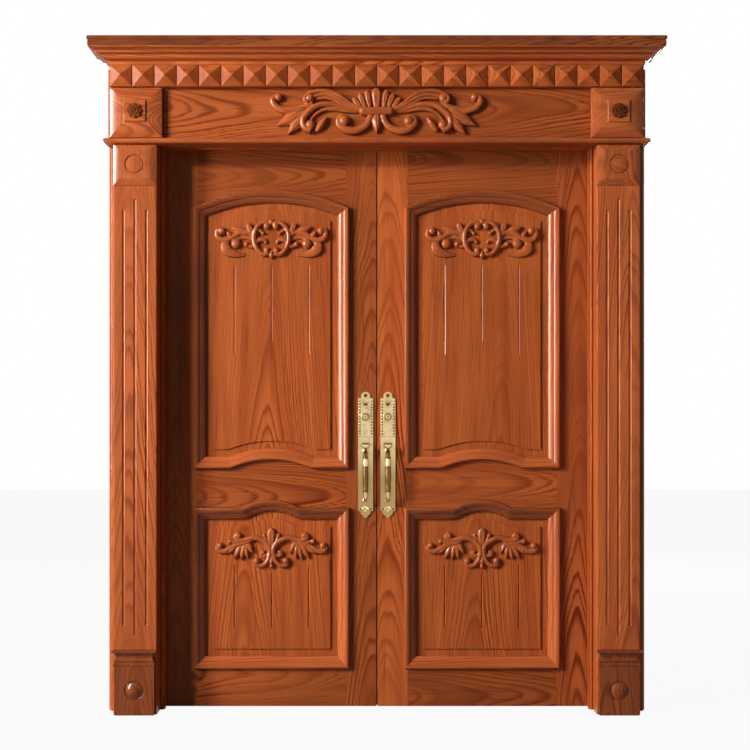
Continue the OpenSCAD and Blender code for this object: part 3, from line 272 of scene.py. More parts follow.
def easedCopy(node, body, material, slot, edgeMm, cutMm=0, keep=1.0):
    bm = bmesh.new()
    bm.from_mesh(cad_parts[node].data)
    bmesh.ops.remove_doubles(bm, verts=bm.verts, dist=easing["mergeMm"] * mm)
    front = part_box(node)[0].y
    for v in bm.verts:      # a cut in the face fills with stain and lacquer
        if easing["skinMm"] * mm < v.co.y - front < cutMm * mm:
            v.co.y = front + (v.co.y - front) * keep
    if edgeMm:
        bmesh.ops.dissolve_limit(bm, angle_limit=math.radians(easing["flatAngle"]), verts=bm.verts,
                                 edges=bm.edges)
    for face in bm.faces:
        face.material_index = 0
    shadeByAngle(bm, easing["smoothAngle"])
    piece = addPiece(node + ".finished", bm, body, slot, [material], node)
    if edgeMm:
        bevel = piece.modifiers.new("easedEdges", "BEVEL")
        bevel.width = edgeMm * mm
        bevel.segments = 2
        bevel.limit_method = "ANGLE"
        bevel.angle_limit = math.radians(easing["bevelAngle"])
        bevel.harden_normals = True


def splitBoards(node, material, isSecond):      # one node, two boards
    mesh = bpy.data.objects[node + ".finished"].data
    mesh.materials.append(material)
    for face in mesh.polygons:
        face.material_index = 1 if isSecond(face.center) else 0


# boards: True where the grain lies flat along X; every board is cut from its own place in a trunk
boards = {
    "frame": {"left_jamb": False, "right_jamb": False, "head_jamb": True, "left_casing": False,
              "right_casing": False, "head_casing": True, "left_pilaster": False, "right_pilaster": False,
              "left_plinth_block": False, "right_plinth_block": False, "left_capital_block": False,
              "right_capital_block": False, "architrave_bead": True, "frieze_board": True,
              "left_corner_block": True, "right_corner_block": True, "pyramid_band": True,
              "cornice": True, "back_casing": False},
    "left_leaf": {"left_hinge_stile": False, "left_lock_stile": False, "left_top_rail": True,
                  "left_lock_rail": True, "left_bottom_rail": True, "left_upper_panel": False,
                  "left_lower_panel": False},
    "right_leaf": {"right_hinge_stile": False, "right_lock_stile": False, "right_top_rail": True,
                   "right_lock_rail": True, "right_bottom_rail": True, "right_upper_panel": False,
                   "right_lower_panel": False},
}
# how much lighter (over 0) or darker each board is drawn: the left hinge stile darker as painted shadow of
# the left pilaster, the top rails darker as painted shade under the head, the cornice lighter as painted
# light against its own shade; the rest differ in tone board by board
boardToneAndPaintedLight = {
    "left_hinge_stile": -0.25, "left_lock_stile": -0.2, "right_hinge_stile": -0.12, "right_lock_stile": 0.2,
    "top_rail": -0.2, "lock_rail": -0.1, "right_lock_rail": 0.12, "bottom_rail": -0.22,
    "left_lower_panel": 0.06, "frieze_board": -0.14, "cornice": 0.2, "pyramid_band": -0.08,
    "right_pilaster": 0.22, "plinth_block": -0.45,
}
rubbedWords = ("pilaster", "block", "cornice", "architrave")
# depth of grooves and flutes, and the share of it kept
cuts = {"upper_panel": (3.7, 0.6), "pilaster": (5.7, 0.55)}
# how strongly a board's rings show, by the first word that fits
figures = {"left_hinge": 0.8, "stile": 1.8, "rail": 1.8, "pilaster": 1.6, "frieze": 1.6, "cornice": 1.6,
           "block": 1.4, "panel": 1.4}
edges = {"upper_panel": 0, "lower_panel": 0, "pyramid_band": 1.2, "cornice": 1.5, "corner_block": 1.5}
plain = {"edgeMm": 2.0, "figure": 1.0, "toneSpread": 0.06, "pointCoat": 0.015}      # points have a thin coat
trunks = {"turn": 0.618, "depth": 0.414, "aside": 0.8, "widest": 0.3, "behind": (0.06, 0.09)}
count = 0


def firstOf(table, node, default):
    return next((value for word, value in table.items() if word in node), default)


for body, nodes in boards.items():
    for node, flat in nodes.items():
        count += 1
        low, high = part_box(node)
        middle = (low + high) / 2
        turn = count * trunks["turn"] % 1        # spreads the hearts without repeats
        reach = high.z - low.z if flat else high.x - low.x
        aside = (turn - 0.5) * min(reach, trunks["widest"]) * trunks["aside"]
        near, far = trunks["behind"]
        behind = middle.y + near + far * (count * trunks["depth"] % 1)
        heart = (middle.x + turn, behind, middle.z + aside) if flat else (
            middle.x + aside, behind, middle.z - turn)
        tone = sum(depth for word, depth in boardToneAndPaintedLight.items() if word in node)
        material = stainedAsh(
            "stainedAsh." + node, heart, flat, tone + plain["toneSpread"] * (turn - 0.5),
            figure=firstOf(figures, node, plain["figure"]), rubbedAndCreaseShaded=any(word in node for word in rubbedWords),
            coat=plain["pointCoat"] if node == "pyramid_band" else ash["coat"])
        easedCopy(node, body, material, "wood", firstOf(edges, node, plain["edgeMm"]),
                  *firstOf(cuts, node, ()))
# the head length of the room side casing lies along X up to its mitres
low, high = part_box("back_casing")
splitBoards("back_casing",
            stainedAsh("stainedAsh.back_casing_head", (0.8, high.y + 0.1, high.z + 0.05), True),
            lambda spot: high.z - spot.z < high.x - abs(spot.x))
# the cornice's top board is drawn darker than the cove under it: painted shade on the top, and painted light
# on the cove, which the lamps leave in shade
cornice = {"topMm": 36, "tone": -0.45, "figure": 1.6}
low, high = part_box("cornice")
splitBoards("cornice", stainedAsh("stainedAsh.cornice_top", (0.6, high.y + 0.1, high.z + 0.04), True,
                                  cornice["tone"], figure=cornice["figure"], rubbedAndCreaseShaded=True),
            lambda spot: high.z - spot.z < cornice["topMm"] * mm)
print("boards finished:", count)

metalNodes = {
    "frame": ["frame_hinges"],
    "left_leaf": ["left_leaf_hinges", "left_handle_plate", "left_inside_plate"],
    "right_leaf": ["right_leaf_hinges", "right_handle_plate", "right_inside_plate"],
    "left_thumb": ["left_thumb_lever"], "right_thumb": ["right_thumb_lever"],
    "inside_knob": ["inside_knob"], "key_cylinder": ["key_cylinder"],
}
metalEdges = {"brass": 0.6, "steel": 0.4}
for body, nodes in metalNodes.items():
    for node in nodes:
        easedCopy(node, body, lowerBrownBrass if node.endswith("handle_plate") else brass, "brass",
                  metalEdges["brass"])
for body, node in (("left_leaf", "strike_plate"), ("right_leaf", "lock_case"),
                   ("latch_bolt", "latch_bolt"), ("dead_bolt", "dead_bolt")):
    easedCopy(node, body, steel, "steel", metalEdges["steel"])
print("metal finished")

# outlines of the two panels, in millimetres from the panel's middle line and from the floor
panel = {
    "middle": 396.25, "width": 585.5, "upperFoot": 900, "spring": 1881, "archRise": 65,
    "lowerFoot": 148, "lowerHead": 753, "upperBump": (162, 32, 50), "lowerBump": (112, 30, 8),
    "leafFront": 39, "leafBack": 87, "mouldReach": 46,
}
leafSides = (("left", -1), ("right", 1))
steps = {"arch": 40, "bump": 22, "bend": 8}


def arcPoints(x, z, r, start, end, count):
    turns = [math.radians(start + (end - start) * i / count) for i in range(count + 1)]
    return [(x + r * math.cos(a), z + r * math.sin(a)) for a in turns]


def bumpEdge(z, bump, side, d):
    half, rise, r = bump
    phi = 2 * math.degrees(math.atan(rise / half))
    big = half / math.sin(math.radians(phi)) - r
    zc = z + rise - big
    small, wide = r - side * d, big + side * d
    if small > 0.5:
        return (arcPoints(-half, z + r, small, -90, phi - 90, steps["bend"])
                + arcPoints(0, zc, wide, 90 + phi, 90 - phi, steps["bump"])[1:]
                + arcPoints(half, z + r, small, -90 - phi, -90, steps["bend"])[1:])
    psi = math.degrees(math.acos((z + side * d - zc) / wide))
    return arcPoints(0, zc, wide, 90 + psi, 90 - psi, steps["bump"] + 2 * steps["bend"])


def upperOutline(d):
    half = panel["width"] / 2
    r = (half * half + panel["archRise"] ** 2) / (2 * panel["archRise"])
    zc = panel["spring"] + panel["archRise"] - r
    a = math.degrees(math.asin((half - d) / (r - d)))
    foot = panel["upperFoot"]
    return ([(d - half, foot + d)] + bumpEdge(foot, panel["upperBump"], 1, d) + [(half - d, foot + d)]
            + arcPoints(0, zc, r - d, 90 - a, 90 + a, steps["arch"]))


def lowerOutline(d):
    half = panel["width"] / 2 - d
    foot, head = panel["lowerFoot"] + d, panel["lowerHead"] - d
    return ([(-half, foot), (half, foot), (half, head)]
            + bumpEdge(panel["lowerHead"], panel["lowerBump"], -1, d)[::-1] + [(-half, head)])


# bolection moulding as inset and height over the leaf: a steep back, a long falling roll, a quirk and a wave
rollSection = [(0, 0), (0, 8), (0.6, 13), (2, 16.6), (4, 18.9), (6.5, 19.9), (9, 19.8), (12, 18.7),
               (16, 16.5), (20, 14), (23.2, 11.8), (24, 10.2), (24.6, 9), (25.8, 8.9), (27, 8.6), (31, 6.4),
               (36, 3.4), (40, 0.8), (42.4, -1.2), (44, -3.4), (44, -11.9), (12.3, -11.9), (12.3, 0)]
beadSection = [(12.3, -11.9), (12.3, 0), (20, 0), (23, -0.4), (27, -1.8), (31, -4), (35, -6.9), (38.5, -9.2),
               (41.5, -10.5), (44, -11), (44, -11.9)]


def mouldingRing(bm, outline, section, side, face, out):
    ring = [bm.verts.new((x, 0, z)) for x, z in outline(0)]
    edges = [bm.edges.new((ring[i - 1], ring[i])) for i in range(len(ring))]
    for step, (inset, rise) in enumerate(section + section[:1]):
        if step:
            made = bmesh.ops.extrude_edge_only(bm, edges=edges)["geom"]
            edges = [e for e in made if isinstance(e, bmesh.types.BMEdge)]
            fresh = {v for v in made if isinstance(v, bmesh.types.BMVert)}
            ring = [next(e.other_vert(v) for e in v.link_edges if e.other_vert(v) in fresh) for v in ring]
        for v, (x, z) in zip(ring, outline(inset)):
            v.co = ((side * panel["middle"] + x) * mm, (face + out * rise) * mm, z * mm)
    bmesh.ops.remove_doubles(bm, verts=bm.verts, dist=0.001 * mm)


def addMoulding(node, body, side, outline, middleZ, materials):
    bm = bmesh.new()
    mouldingRing(bm, outline, rollSection, side, panel["leafFront"], -1)
    mouldingRing(bm, outline, beadSection, side, panel["leafBack"], 1)
    bmesh.ops.recalc_face_normals(bm, faces=bm.faces)
    for face in bm.faces:           # side lengths stand, head and foot lengths lie
        spot = face.calc_center_median() / mm
        across = spot.x - side * panel["middle"]
        runs = max(face.edges, key=lambda e: e.calc_length())
        along = runs.verts[0].co - runs.verts[1].co
        # each length takes its own copy of the material, with its painted light and shade
        if abs(along.z) > abs(along.x) * 4 and panel["width"] / 2 - abs(across) < panel["mouldReach"]:
            face.material_index = 0 if across < 0 else 1
        else:
            face.material_index = 2 if spot.z > middleZ else 3
    shadeByAngle(bm, 32)
    addPiece(node + ".run", bm, body, "wood", materials, node)


# four lengths of moulding to a panel: place of the heart, lying or standing, and tone: painted light and
# shade, the head lengths darker and the right and foot lengths lighter, as the lamps from the upper left fall
# on them
lengths = {"left": (0.5, -0.7, False, -0.06), "right": (0.52, -0.7, False, 0.18),
           "head": (0.9, 0.4, True, -0.36), "foot": (0.92, 0.43, True, 0.1)}
run = {"shaded": -0.3, "figure": 1.4, "heartY": 0.12}   # the left leaf's outer lengths are darker still: painted shadow of the left pilaster
for word, side in leafSides:
    x = side * panel["middle"] * mm
    for level, outline, z in (("upper", upperOutline, 1.4), ("lower", lowerOutline, 0.45)):
        materials = []
        for length, (aside, up, flat, tone) in lengths.items():
            if length == "left" and side < 0:
                tone += run["shaded"]
            heart = (x + aside, run["heartY"], z + up)
            materials.append(stainedAsh(f"stainedAsh.{word}_{level}_{length}", heart, flat, tone,
                                        figure=run["figure"], rubbedAndCreaseShaded=True))
        addMoulding(f"{word}_{level}_moulding", word + "_leaf", side, outline, z / mm, materials)
print("mouldings run")

# carvings, in millimetres about each one's middle: strands run through points with widths from root to tip,
# eyes are domes, leaves run from root to tip; all but "middle" is carved again on the other side
carvings = {
    "frieze": {
        "rise": 24, "voxelMm": 1.5, "flat": True,
        "middle": {
            "strands": [([(-50, 0), (50, 0)], (16, 16), 1.0)],
            "eyes": [((-50, 0), 16, 1.0), ((50, 0), 16, 1.0)],
            "leaves": [((0, 4), (0, 85), 23, "spoon"), ((0, -4), (0, -82), 19, "spear")]},
        "sides": {
            "strands": [
                ([(21, -8), (34, -44), (60, -66), (98, -72), (128, -58), (140, -36), (126, -16)],
                 (11, 15, 12), 0.88),
                ([(58, 6), (91, 24), (118, 44), (150, 64), (190, 73), (228, 70), (256, 58), (264, 42),
                  (252, 30)], (7, 9, 9), 0.95),
                ([(60, 4), (96, 18), (124, 35), (156, 52), (192, 60), (232, 54)], (7, 8, 7), 0.84),
                ([(62, 2), (100, 12), (130, 26), (158, 42), (190, 48), (224, 44)], (6, 7, 5), 0.72),
                ([(66, 0), (104, 6), (138, 19), (176, 26), (216, 20), (250, -2), (271, -32), (265, -60),
                  (242, -72)], (6, 12, 12), 0.95),
                ([(72, -3), (120, 1), (160, 8), (196, 5), (226, -12), (246, -36)], (5, 8, 5), 0.66),
                ([(236, 30), (273, 12), (313, 3), (350, 6), (374, 22), (382, 42), (366, 57)],
                 (12, 13, 11), 0.85)],
            "eyes": [((119, -36), 20, 1.0), ((246, 47), 18, 1.0), ((244, -51), 19, 1.0),
                     ((360, 51), 15, 0.9)],
            "leaves": [((24, 6), (37, 78), 14, "spoon"), ((40, 6), (63, 66), 14, "spoon"),
                       ((54, 5), (87, 50), 13, "spoon"), ((248, 12), (366, -54), 26, "spear"),
                       ((258, -4), (326, -84), 23, "spear"), ((224, -76), (182, -20), 14, "spear")]},
    },
    "upper": {
        "rise": 18, "voxelMm": 1.25, "flat": False,
        "middle": {
            "strands": [], "leaves": [((0, -40), (0, -76), 9, "spear")],
            "eyes": [((0, 64), 12, 0.8), ((0, -62), 11, 0.8)]},
        "sides": {
            "strands": [
                ([(14, 44), (12, 57), (26, 62), (47, 53), (61, 31), (66, 4), (61, -23), (47, -46), (27, -58),
                  (11, -52)], (8, 10, 9), 0.95),
                ([(63, 16), (58, 32), (44, 33), (33, 22)], (9, 8, 6), 0.7),
                ([(60, -30), (55, -10), (40, -2), (25, -6), (20, -18)], (9, 9, 6), 0.7),
                ([(63, 9), (87, 24), (117, 23), (148, 6), (172, -4), (194, 1), (205, 19), (198, 38)],
                 (9, 11, 10), 0.85),
                ([(64, -6), (92, 6), (118, 6), (133, -6), (136, -20)], (8, 10, 18), 0.8),
                ([(148, 3), (172, -15), (171, -38), (146, -54), (98, -61)], (7, 15, 21, 16, 4), 0.9),
                ([(60, -20), (74, -28), (88, -24)], (8, 8), 0.7)],
            "eyes": [((17, 47), 13, 0.95), ((18, -43), 13, 0.95), ((187, 30), 15, 1.0), ((134, -18), 19, 1.0),
                     ((94, -20), 11, 0.95), ((31, 21), 7, 0.65), ((84, 47), 12, 0.75)],
            "leaves": [((88, 18), (152, 46), 17, "spear"), ((68, 12), (90, 60), 13, "spoon"),
                       ((146, 2), (170, 30), 11, "spear")]},
    },
    "lower": {
        "rise": 18, "voxelMm": 1.25, "flat": False,
        "middle": {
            "strands": [], "eyes": [((0, -70), 9, 0.7)],
            "leaves": [((0, -4), (0, 74), 18, "spoon"), ((0, -30), (0, -76), 10, "spear")]},
        "sides": {
            "strands": [
                ([(50, -44), (60, -60), (40, -68), (19, -55), (8, -30), (7, -4), (20, 17), (42, 31), (72, 36),
                  (98, 29), (121, 28), (134, 40), (122, 52)], (8, 10, 10), 0.9),
                ([(8, -18), (20, -30), (35, -26), (36, -12)], (7, 8), 0.75),
                ([(78, 33), (122, 12), (151, 0), (177, -13), (199, -10), (206, 7)], (9, 11, 9), 0.85),
                ([(76, 31), (102, 17), (128, 17), (150, 24)], (9, 9), 0.8),
                ([(6, 8), (20, 30), (26, 44)], (5, 6), 0.7)],
            "eyes": [((55, -50), 14, 1.0), ((124, 44), 13, 0.95), ((194, 7), 13, 1.0), ((156, 23), 10, 0.9),
                     ((31, -18), 9, 0.8), ((27, 46), 9, 0.7)],
            "leaves": [((110, 16), (142, -42), 13, "spear"), ((102, 18), (114, -46), 12, "spear"),
                       ((98, 20), (90, -42), 12, "spear"), ((94, 22), (68, -22), 12, "spear"),
                       ((128, 10), (166, -24), 11, "spear")]},
    },
}
# cross section of a strand, half width 1: a broad shoulder on each side of a blunt crown
strandSection = [(-1, -0.4), (-1, 0.2), (-0.93, 0.55), (-0.76, 0.82), (-0.3, 0.97), (0, 1), (0.3, 0.97),
                 (0.76, 0.82), (0.93, 0.55), (1, 0.2), (1, -0.4)]
sectionCurve = bpy.data.curves.new("strandSection", "CURVE")
spline = sectionCurve.splines.new("POLY")
spline.points.add(len(strandSection) - 1)
for spot, (x, y) in zip(spline.points, strandSection):
    spot.co = (x * mm, y * mm, 0, 1)
spline.use_cyclic_u = True
sectionHolder = bpy.data.objects.new("strandSection", sectionCurve)
scene.collection.objects.link(sectionHolder)


def evaluatedMesh(holder):
    bpy.context.view_layer.update()
    return bpy.data.meshes.new_from_object(holder.evaluated_get(bpy.context.evaluated_depsgraph_get()))


def addStrand(points, widths, share):
    curve = bpy.data.curves.new("strand", "CURVE")
    curve.dimensions = "3D"
    curve.twist_mode = "Z_UP"
    curve.resolution_u = 10
    curve.bevel_mode = "OBJECT"
    curve.bevel_object = sectionHolder
    curve.use_fill_caps = True
    spline = curve.splines.new("BEZIER")
    spline.bezier_points.add(len(points) - 1)
    for i, (spot, (x, z)) in enumerate(zip(spline.bezier_points, points)):
        spot.handle_left_type = spot.handle_right_type = "AUTO"
        spot.co = (x * mm, z * mm, 0)
        along = i / (len(points) - 1) * (len(widths) - 1)
        k = min(int(along), len(widths) - 2)
        spot.radius = widths[k] + (widths[k + 1] - widths[k]) * (along - k)
    strand = bpy.data.objects.new("strand", curve)
    scene.collection.objects.link(strand)
    return strand, share / max(widths)


# carvings stand a little in the ground; eyes and leaves have a share of the rise
carver = {
    "rootMm": 3, "seatMm": 0.6, "smoothing": 2, "eyeSeat": 0.3, "eyeRise": 0.75, "leafRise": 0.9,
    "tone": -0.04, "groundShadeRise": 0.45,
    "lying": (0.7, 0.09, 0.03), "standing": (0.04, 0.09, -0.6),      # from a carving to its trunk's heart
}


def carveLeaf(bm, root, tip, width, kind, rise):
    made = bmesh.ops.create_grid(bm, x_segments=10, y_segments=18, size=0.5)["verts"]
    skin = list({face for v in made for face in v.link_faces})
    along = Vector(tip) - Vector(root)
    across = Vector((along.y, -along.x)).normalized()
    for v in made:
        s, t = 2 * v.co.x, v.co.y + 0.5
        if kind == "spear":             # pointed, with a gouged midrib and two hollows
            half = width * max(2.6 * t ** 0.6 * (1 - t) ** 0.9, 0.06)
            top = math.sin(math.pi * (0.14 + 0.74 * t)) ** 0.6 * (1 - 0.5 * s * s)
            hollows = math.exp(-(s / 0.16) ** 2) + 0.6 * math.exp(-((abs(s) - 0.55) / 0.18) ** 2)
            top -= 0.22 * (1 - t) * hollows
        else:                           # a petal that widens to a round end
            half = width * (0.42 + 0.58 * math.sin(math.pi / 2 * t / 0.72) if t < 0.72
                            else max(1 - ((t - 0.72) / 0.28) ** 2, 0.02) ** 0.5)
            top = (0.62 + 0.38 * math.sin(math.pi * (0.1 + 0.7 * t))) * (1 - 0.6 * abs(s) ** 2.4)
            top -= 0.16 * math.exp(-(s / 0.28) ** 2) * math.sin(math.pi * t)
        spot = Vector(root) + along * t + across * s * half
        v.co = (spot.x * mm, spot.y * mm, max(top, 0.08) * rise * mm)
    for v in bmesh.ops.extrude_face_region(bm, geom=skin)["geom"]:
        if isinstance(v, bmesh.types.BMVert):
            v.co.z = -carver["rootMm"] * mm


def carveParts(bm, parts, rise):
    for strand, share in [addStrand(*strand) for strand in parts["strands"]]:
        mesh = evaluatedMesh(strand)
        for v in mesh.vertices:
            v.co.z *= share * rise
        bm.from_mesh(mesh)
        bpy.data.meshes.remove(mesh)
        curve = strand.data
        bpy.data.objects.remove(strand)
        bpy.data.curves.remove(curve)
    for (x, z), r, share in parts["eyes"]:
        seat = Matrix.Translation((x * mm, z * mm, carver["eyeSeat"] * share * rise * mm))
        squash = Matrix.Diagonal((1, 1, carver["eyeRise"] * share * rise / r, 1))
        bmesh.ops.create_uvsphere(bm, u_segments=20, v_segments=12, radius=r * mm, matrix=seat @ squash)
    for root, tip, width, kind in parts["leaves"]:
        carveLeaf(bm, root, tip, width, kind, rise * carver["leafRise"])


def oneSkin(bm, voxelMm, rounds):
    bmesh.ops.recalc_face_normals(bm, faces=bm.faces)
    bmesh.ops.rotate(bm, verts=bm.verts, matrix=Matrix.Rotation(math.pi / 2, 3, "X"))
    mesh = bpy.data.meshes.new("rough")
    bm.to_mesh(mesh)
    bm.free()
    rough = bpy.data.objects.new("rough", mesh)
    scene.collection.objects.link(rough)
    skin = rough.modifiers.new("oneSkin", "REMESH")
    skin.mode = "VOXEL"
    skin.voxel_size = voxelMm * mm
    done = evaluatedMesh(rough)
    bpy.data.objects.remove(rough)
    bpy.data.meshes.remove(mesh)
    bm = bmesh.new()
    bm.from_mesh(done)
    bpy.data.meshes.remove(done)
    for turn in range(rounds):
        bmesh.ops.smooth_vert(bm, verts=bm.verts, factor=0.5, use_axis_x=True, use_axis_y=True,
                              use_axis_z=True)
    bmesh.ops.bisect_plane(bm, geom=bm.verts[:] + bm.edges[:] + bm.faces[:],
                           plane_co=(0, carver["seatMm"] * mm, 0), plane_no=(0, 1, 0), clear_outer=True)
    bmesh.ops.holes_fill(bm, edges=[e for e in bm.edges if e.is_boundary], sides=0)
    shadeByAngle(bm, 60)
    return bm


def addCarving(node, body, name, place):
    design = carvings[name]
    bm = bmesh.new()
    carveParts(bm, design["sides"], design["rise"])
    copy = bmesh.ops.duplicate(bm, geom=bm.verts[:] + bm.edges[:] + bm.faces[:])["geom"]
    bmesh.ops.scale(bm, vec=(-1, 1, 1), verts=[v for v in copy if isinstance(v, bmesh.types.BMVert)])
    carveParts(bm, design["middle"], design["rise"])
    bm = oneSkin(bm, design["voxelMm"], carver["smoothing"])
    bmesh.ops.translate(bm, verts=bm.verts, vec=place)
    y = place[1]
    heart = [a + b for a, b in zip(place, carver["lying" if design["flat"] else "standing"])]
    # the ground of the carving is painted in shade, darker towards it
    material = stainedAsh("carvedAsh." + node, heart, design["flat"], carver["tone"],
                          (y - carver["groundShadeRise"] * design["rise"] * mm, y + mm), rubbedAndCreaseShaded=True)
    addPiece(node + ".carved", bm, body, "wood", [material], node)


ground = {"frieze": (-57, 2216.5), "upper": (45, 1764), "lower": (45, 602)}      # y and z of each seat
y, z = ground["frieze"]
addCarving("frieze_carving", "frame", "frieze", (0, y * mm, z * mm))
for word, side in leafSides:
    for level in ("upper", "lower"):
        y, z = ground[level]
        addCarving(f"{word}_{level}_carving", word + "_leaf", level,
                   (side * panel["middle"] * mm, y * mm, z * mm))
bpy.data.objects.remove(sectionHolder)
print("carvings carved")

# rosettes on the corner blocks: two rings of petals round a button
rosette = {
    "radiusMm": 28, "backMm": 6, "riseMm": 11, "petals": 8, "place": (884, -102, 2208.5), "voxelMm": 0.8,
    "rings": ((9, 27, 8.5, 0.75), (5, 18, 5.5, 1.0)),      # root, tip, width, share of the rise
    "buttonMm": 7, "buttonRise": 1.7, "tone": -0.5, "hollowShadeY": (-0.104, -0.1),
}
bm = bmesh.new()
for side in (-1, 1):
    flower = bmesh.new()
    bmesh.ops.create_cone(flower, cap_ends=True, segments=48, radius1=rosette["radiusMm"] * mm,
                          radius2=(rosette["radiusMm"] - 2) * mm, depth=rosette["backMm"] * mm)
    for ring, (root, tip, width, rise) in enumerate(rosette["rings"]):
        for i in range(rosette["petals"]):
            a = 2 * math.pi * (i + 0.5 * ring) / rosette["petals"]
            out = Vector((math.cos(a), math.sin(a)))
            carveLeaf(flower, out * root, out * tip, width, "spoon", rosette["riseMm"] * rise)
    bmesh.ops.create_uvsphere(flower, u_segments=24, v_segments=12, radius=rosette["buttonMm"] * mm,
                              matrix=Matrix.Diagonal((1, 1, rosette["buttonRise"], 1)))
    flower = oneSkin(flower, rosette["voxelMm"], 1)
    x, y, z = rosette["place"]
    bmesh.ops.translate(flower, verts=flower.verts, vec=(side * x * mm, y * mm, z * mm))
    mesh = bpy.data.meshes.new("flower")
    flower.to_mesh(mesh)
    flower.free()
    bm.from_mesh(mesh)
    bpy.data.meshes.remove(mesh)
# ash in a near black stain: small dark spots on the pale blocks, with painted shade towards their ground; the
# seal between the leaves takes it too
darkAsh = stainedAsh("darkAsh.rosettes", (0, 0.1, 1.2), True, rosette["tone"], rosette["hollowShadeY"])
addPiece("corner_rosettes.carved", bm, "frame", "dark_wood", [darkAsh], "corner_rosettes")
print("rosettes carved")

# handles: beads and ornament cast on each plate, and a bow grip with a dark middle, a painted dark reflection
handle = {
    "x": 42, "plateFront": 35, "bandFront": 33, "plugFront": 28, "keyZ": 1094,
    "beadZ": (1024, 1158), "beads": 13, "beadX": 22.6, "beadMm": (2.9, 2.8, 4.0), "bedMm": (5.4, 0.8, 10),
    "swag": ((-15, 0, 1147, 1.4), (-8, -0.5, 1136, 3), (0, -1, 1131, 4), (8, -0.5, 1136, 3),
             (15, 0, 1147, 1.4)),
    "dots": ((-9, 1154), (0, 1151), (9, 1154)), "dotMm": (3.6, 2.6, 3.6), "swagBed": (1141, (12, 0.5, 5)),
    "keyRing": (16, 1.8), "plugRing": (10.2, 1.1), "plugRingY": 30,
    "shutterZ": (980, 1000), "shutterMm": (18, 2, 8), "shutterProud": 0.2,
    "shellZ": 745, "ribs": 7, "ribDegrees": 27, "ribMm": (12, 11), "ribRoot": 4, "ribRadii": (1.4, 3.0),
    "ribBallMm": (3.4, 3, 3.4), "shellTip": (741, (6, 4, 5)),
    "screwHoleShade": (19, 747), "screwHoleShadeMm": (3.6, 1.2, 3.6),
}
thumb = {"y": -7, "z": 990, "sizeMm": (15, 3.2, 13), "shadeRimMm": 1.6, "bar": (-8, 992.5), "barMm": (31, 2.4, 5)}
keyhole = {"eyeMm": (3, 0.5, 3), "slotMm": (2.6, 0.6, 8), "apart": 2}
grip = {
    "bowY": -7, "darkReflectionZ": (811, 912), "shadeZ": 936, "shadeY": 20,
    "bow": ((36, 966, 10), (24, 966, 7.5), (6, 960, 7), (-6, 944, 7.5), (-7, 926, 9.5), (-8, 873, 10.5),
            (-7, 840, 9.5), (-6, 802, 7.5), (6, 786, 7), (24, 780, 7.5), (36, 780, 10)),    # y, z and radius
    "rings": ((942, 11), (934, 10), (906, 11), (899, 10), (816, 10), (808, 11)), "ringMm": 3.4,
    "rootZ": (966, 780), "rootMm": (12, 4, 12),
}


def sweepTube(bm, points):
    curve = bpy.data.curves.new("tube", "CURVE")
    curve.dimensions = "3D"
    curve.resolution_u = 10
    curve.bevel_depth = mm
    curve.bevel_resolution = 6
    curve.use_fill_caps = True
    spline = curve.splines.new("BEZIER")
    spline.bezier_points.add(len(points) - 1)
    for spot, (x, y, z, r) in zip(spline.bezier_points, points):
        spot.handle_left_type = spot.handle_right_type = "AUTO"
        spot.co = (x * mm, y * mm, z * mm)
        spot.radius = r
    holder = bpy.data.objects.new("tube", curve)
    scene.collection.objects.link(holder)
    mesh = evaluatedMesh(holder)
    bm.from_mesh(mesh)
    bpy.data.meshes.remove(mesh)
    bpy.data.objects.remove(holder)
    bpy.data.curves.remove(curve)


def addBall(bm, x, y, z, rx, ry, rz):
    bmesh.ops.create_uvsphere(bm, u_segments=24, v_segments=12, radius=mm, matrix=Matrix.Translation(
        (x * mm, y * mm, z * mm)) @ Matrix.Diagonal((rx, ry, rz, 1)))


def addBox(bm, x, y, z, width, depth, height):
    bmesh.ops.create_cube(bm, size=1, matrix=Matrix.Translation((x * mm, y * mm, z * mm))
                          @ Matrix.Diagonal((width * mm, depth * mm, height * mm, 1)))


def sweepHoop(bm, x, y, z, rx, rz, r, turns):
    sweepTube(bm, [(x + rx * math.cos(a), y, z + rz * math.sin(a), r) for a in turns])


fullTurn = [math.pi * i / 6 for i in range(13)]
lowerTurn = [math.pi * (1 + i / 8) for i in range(9)]


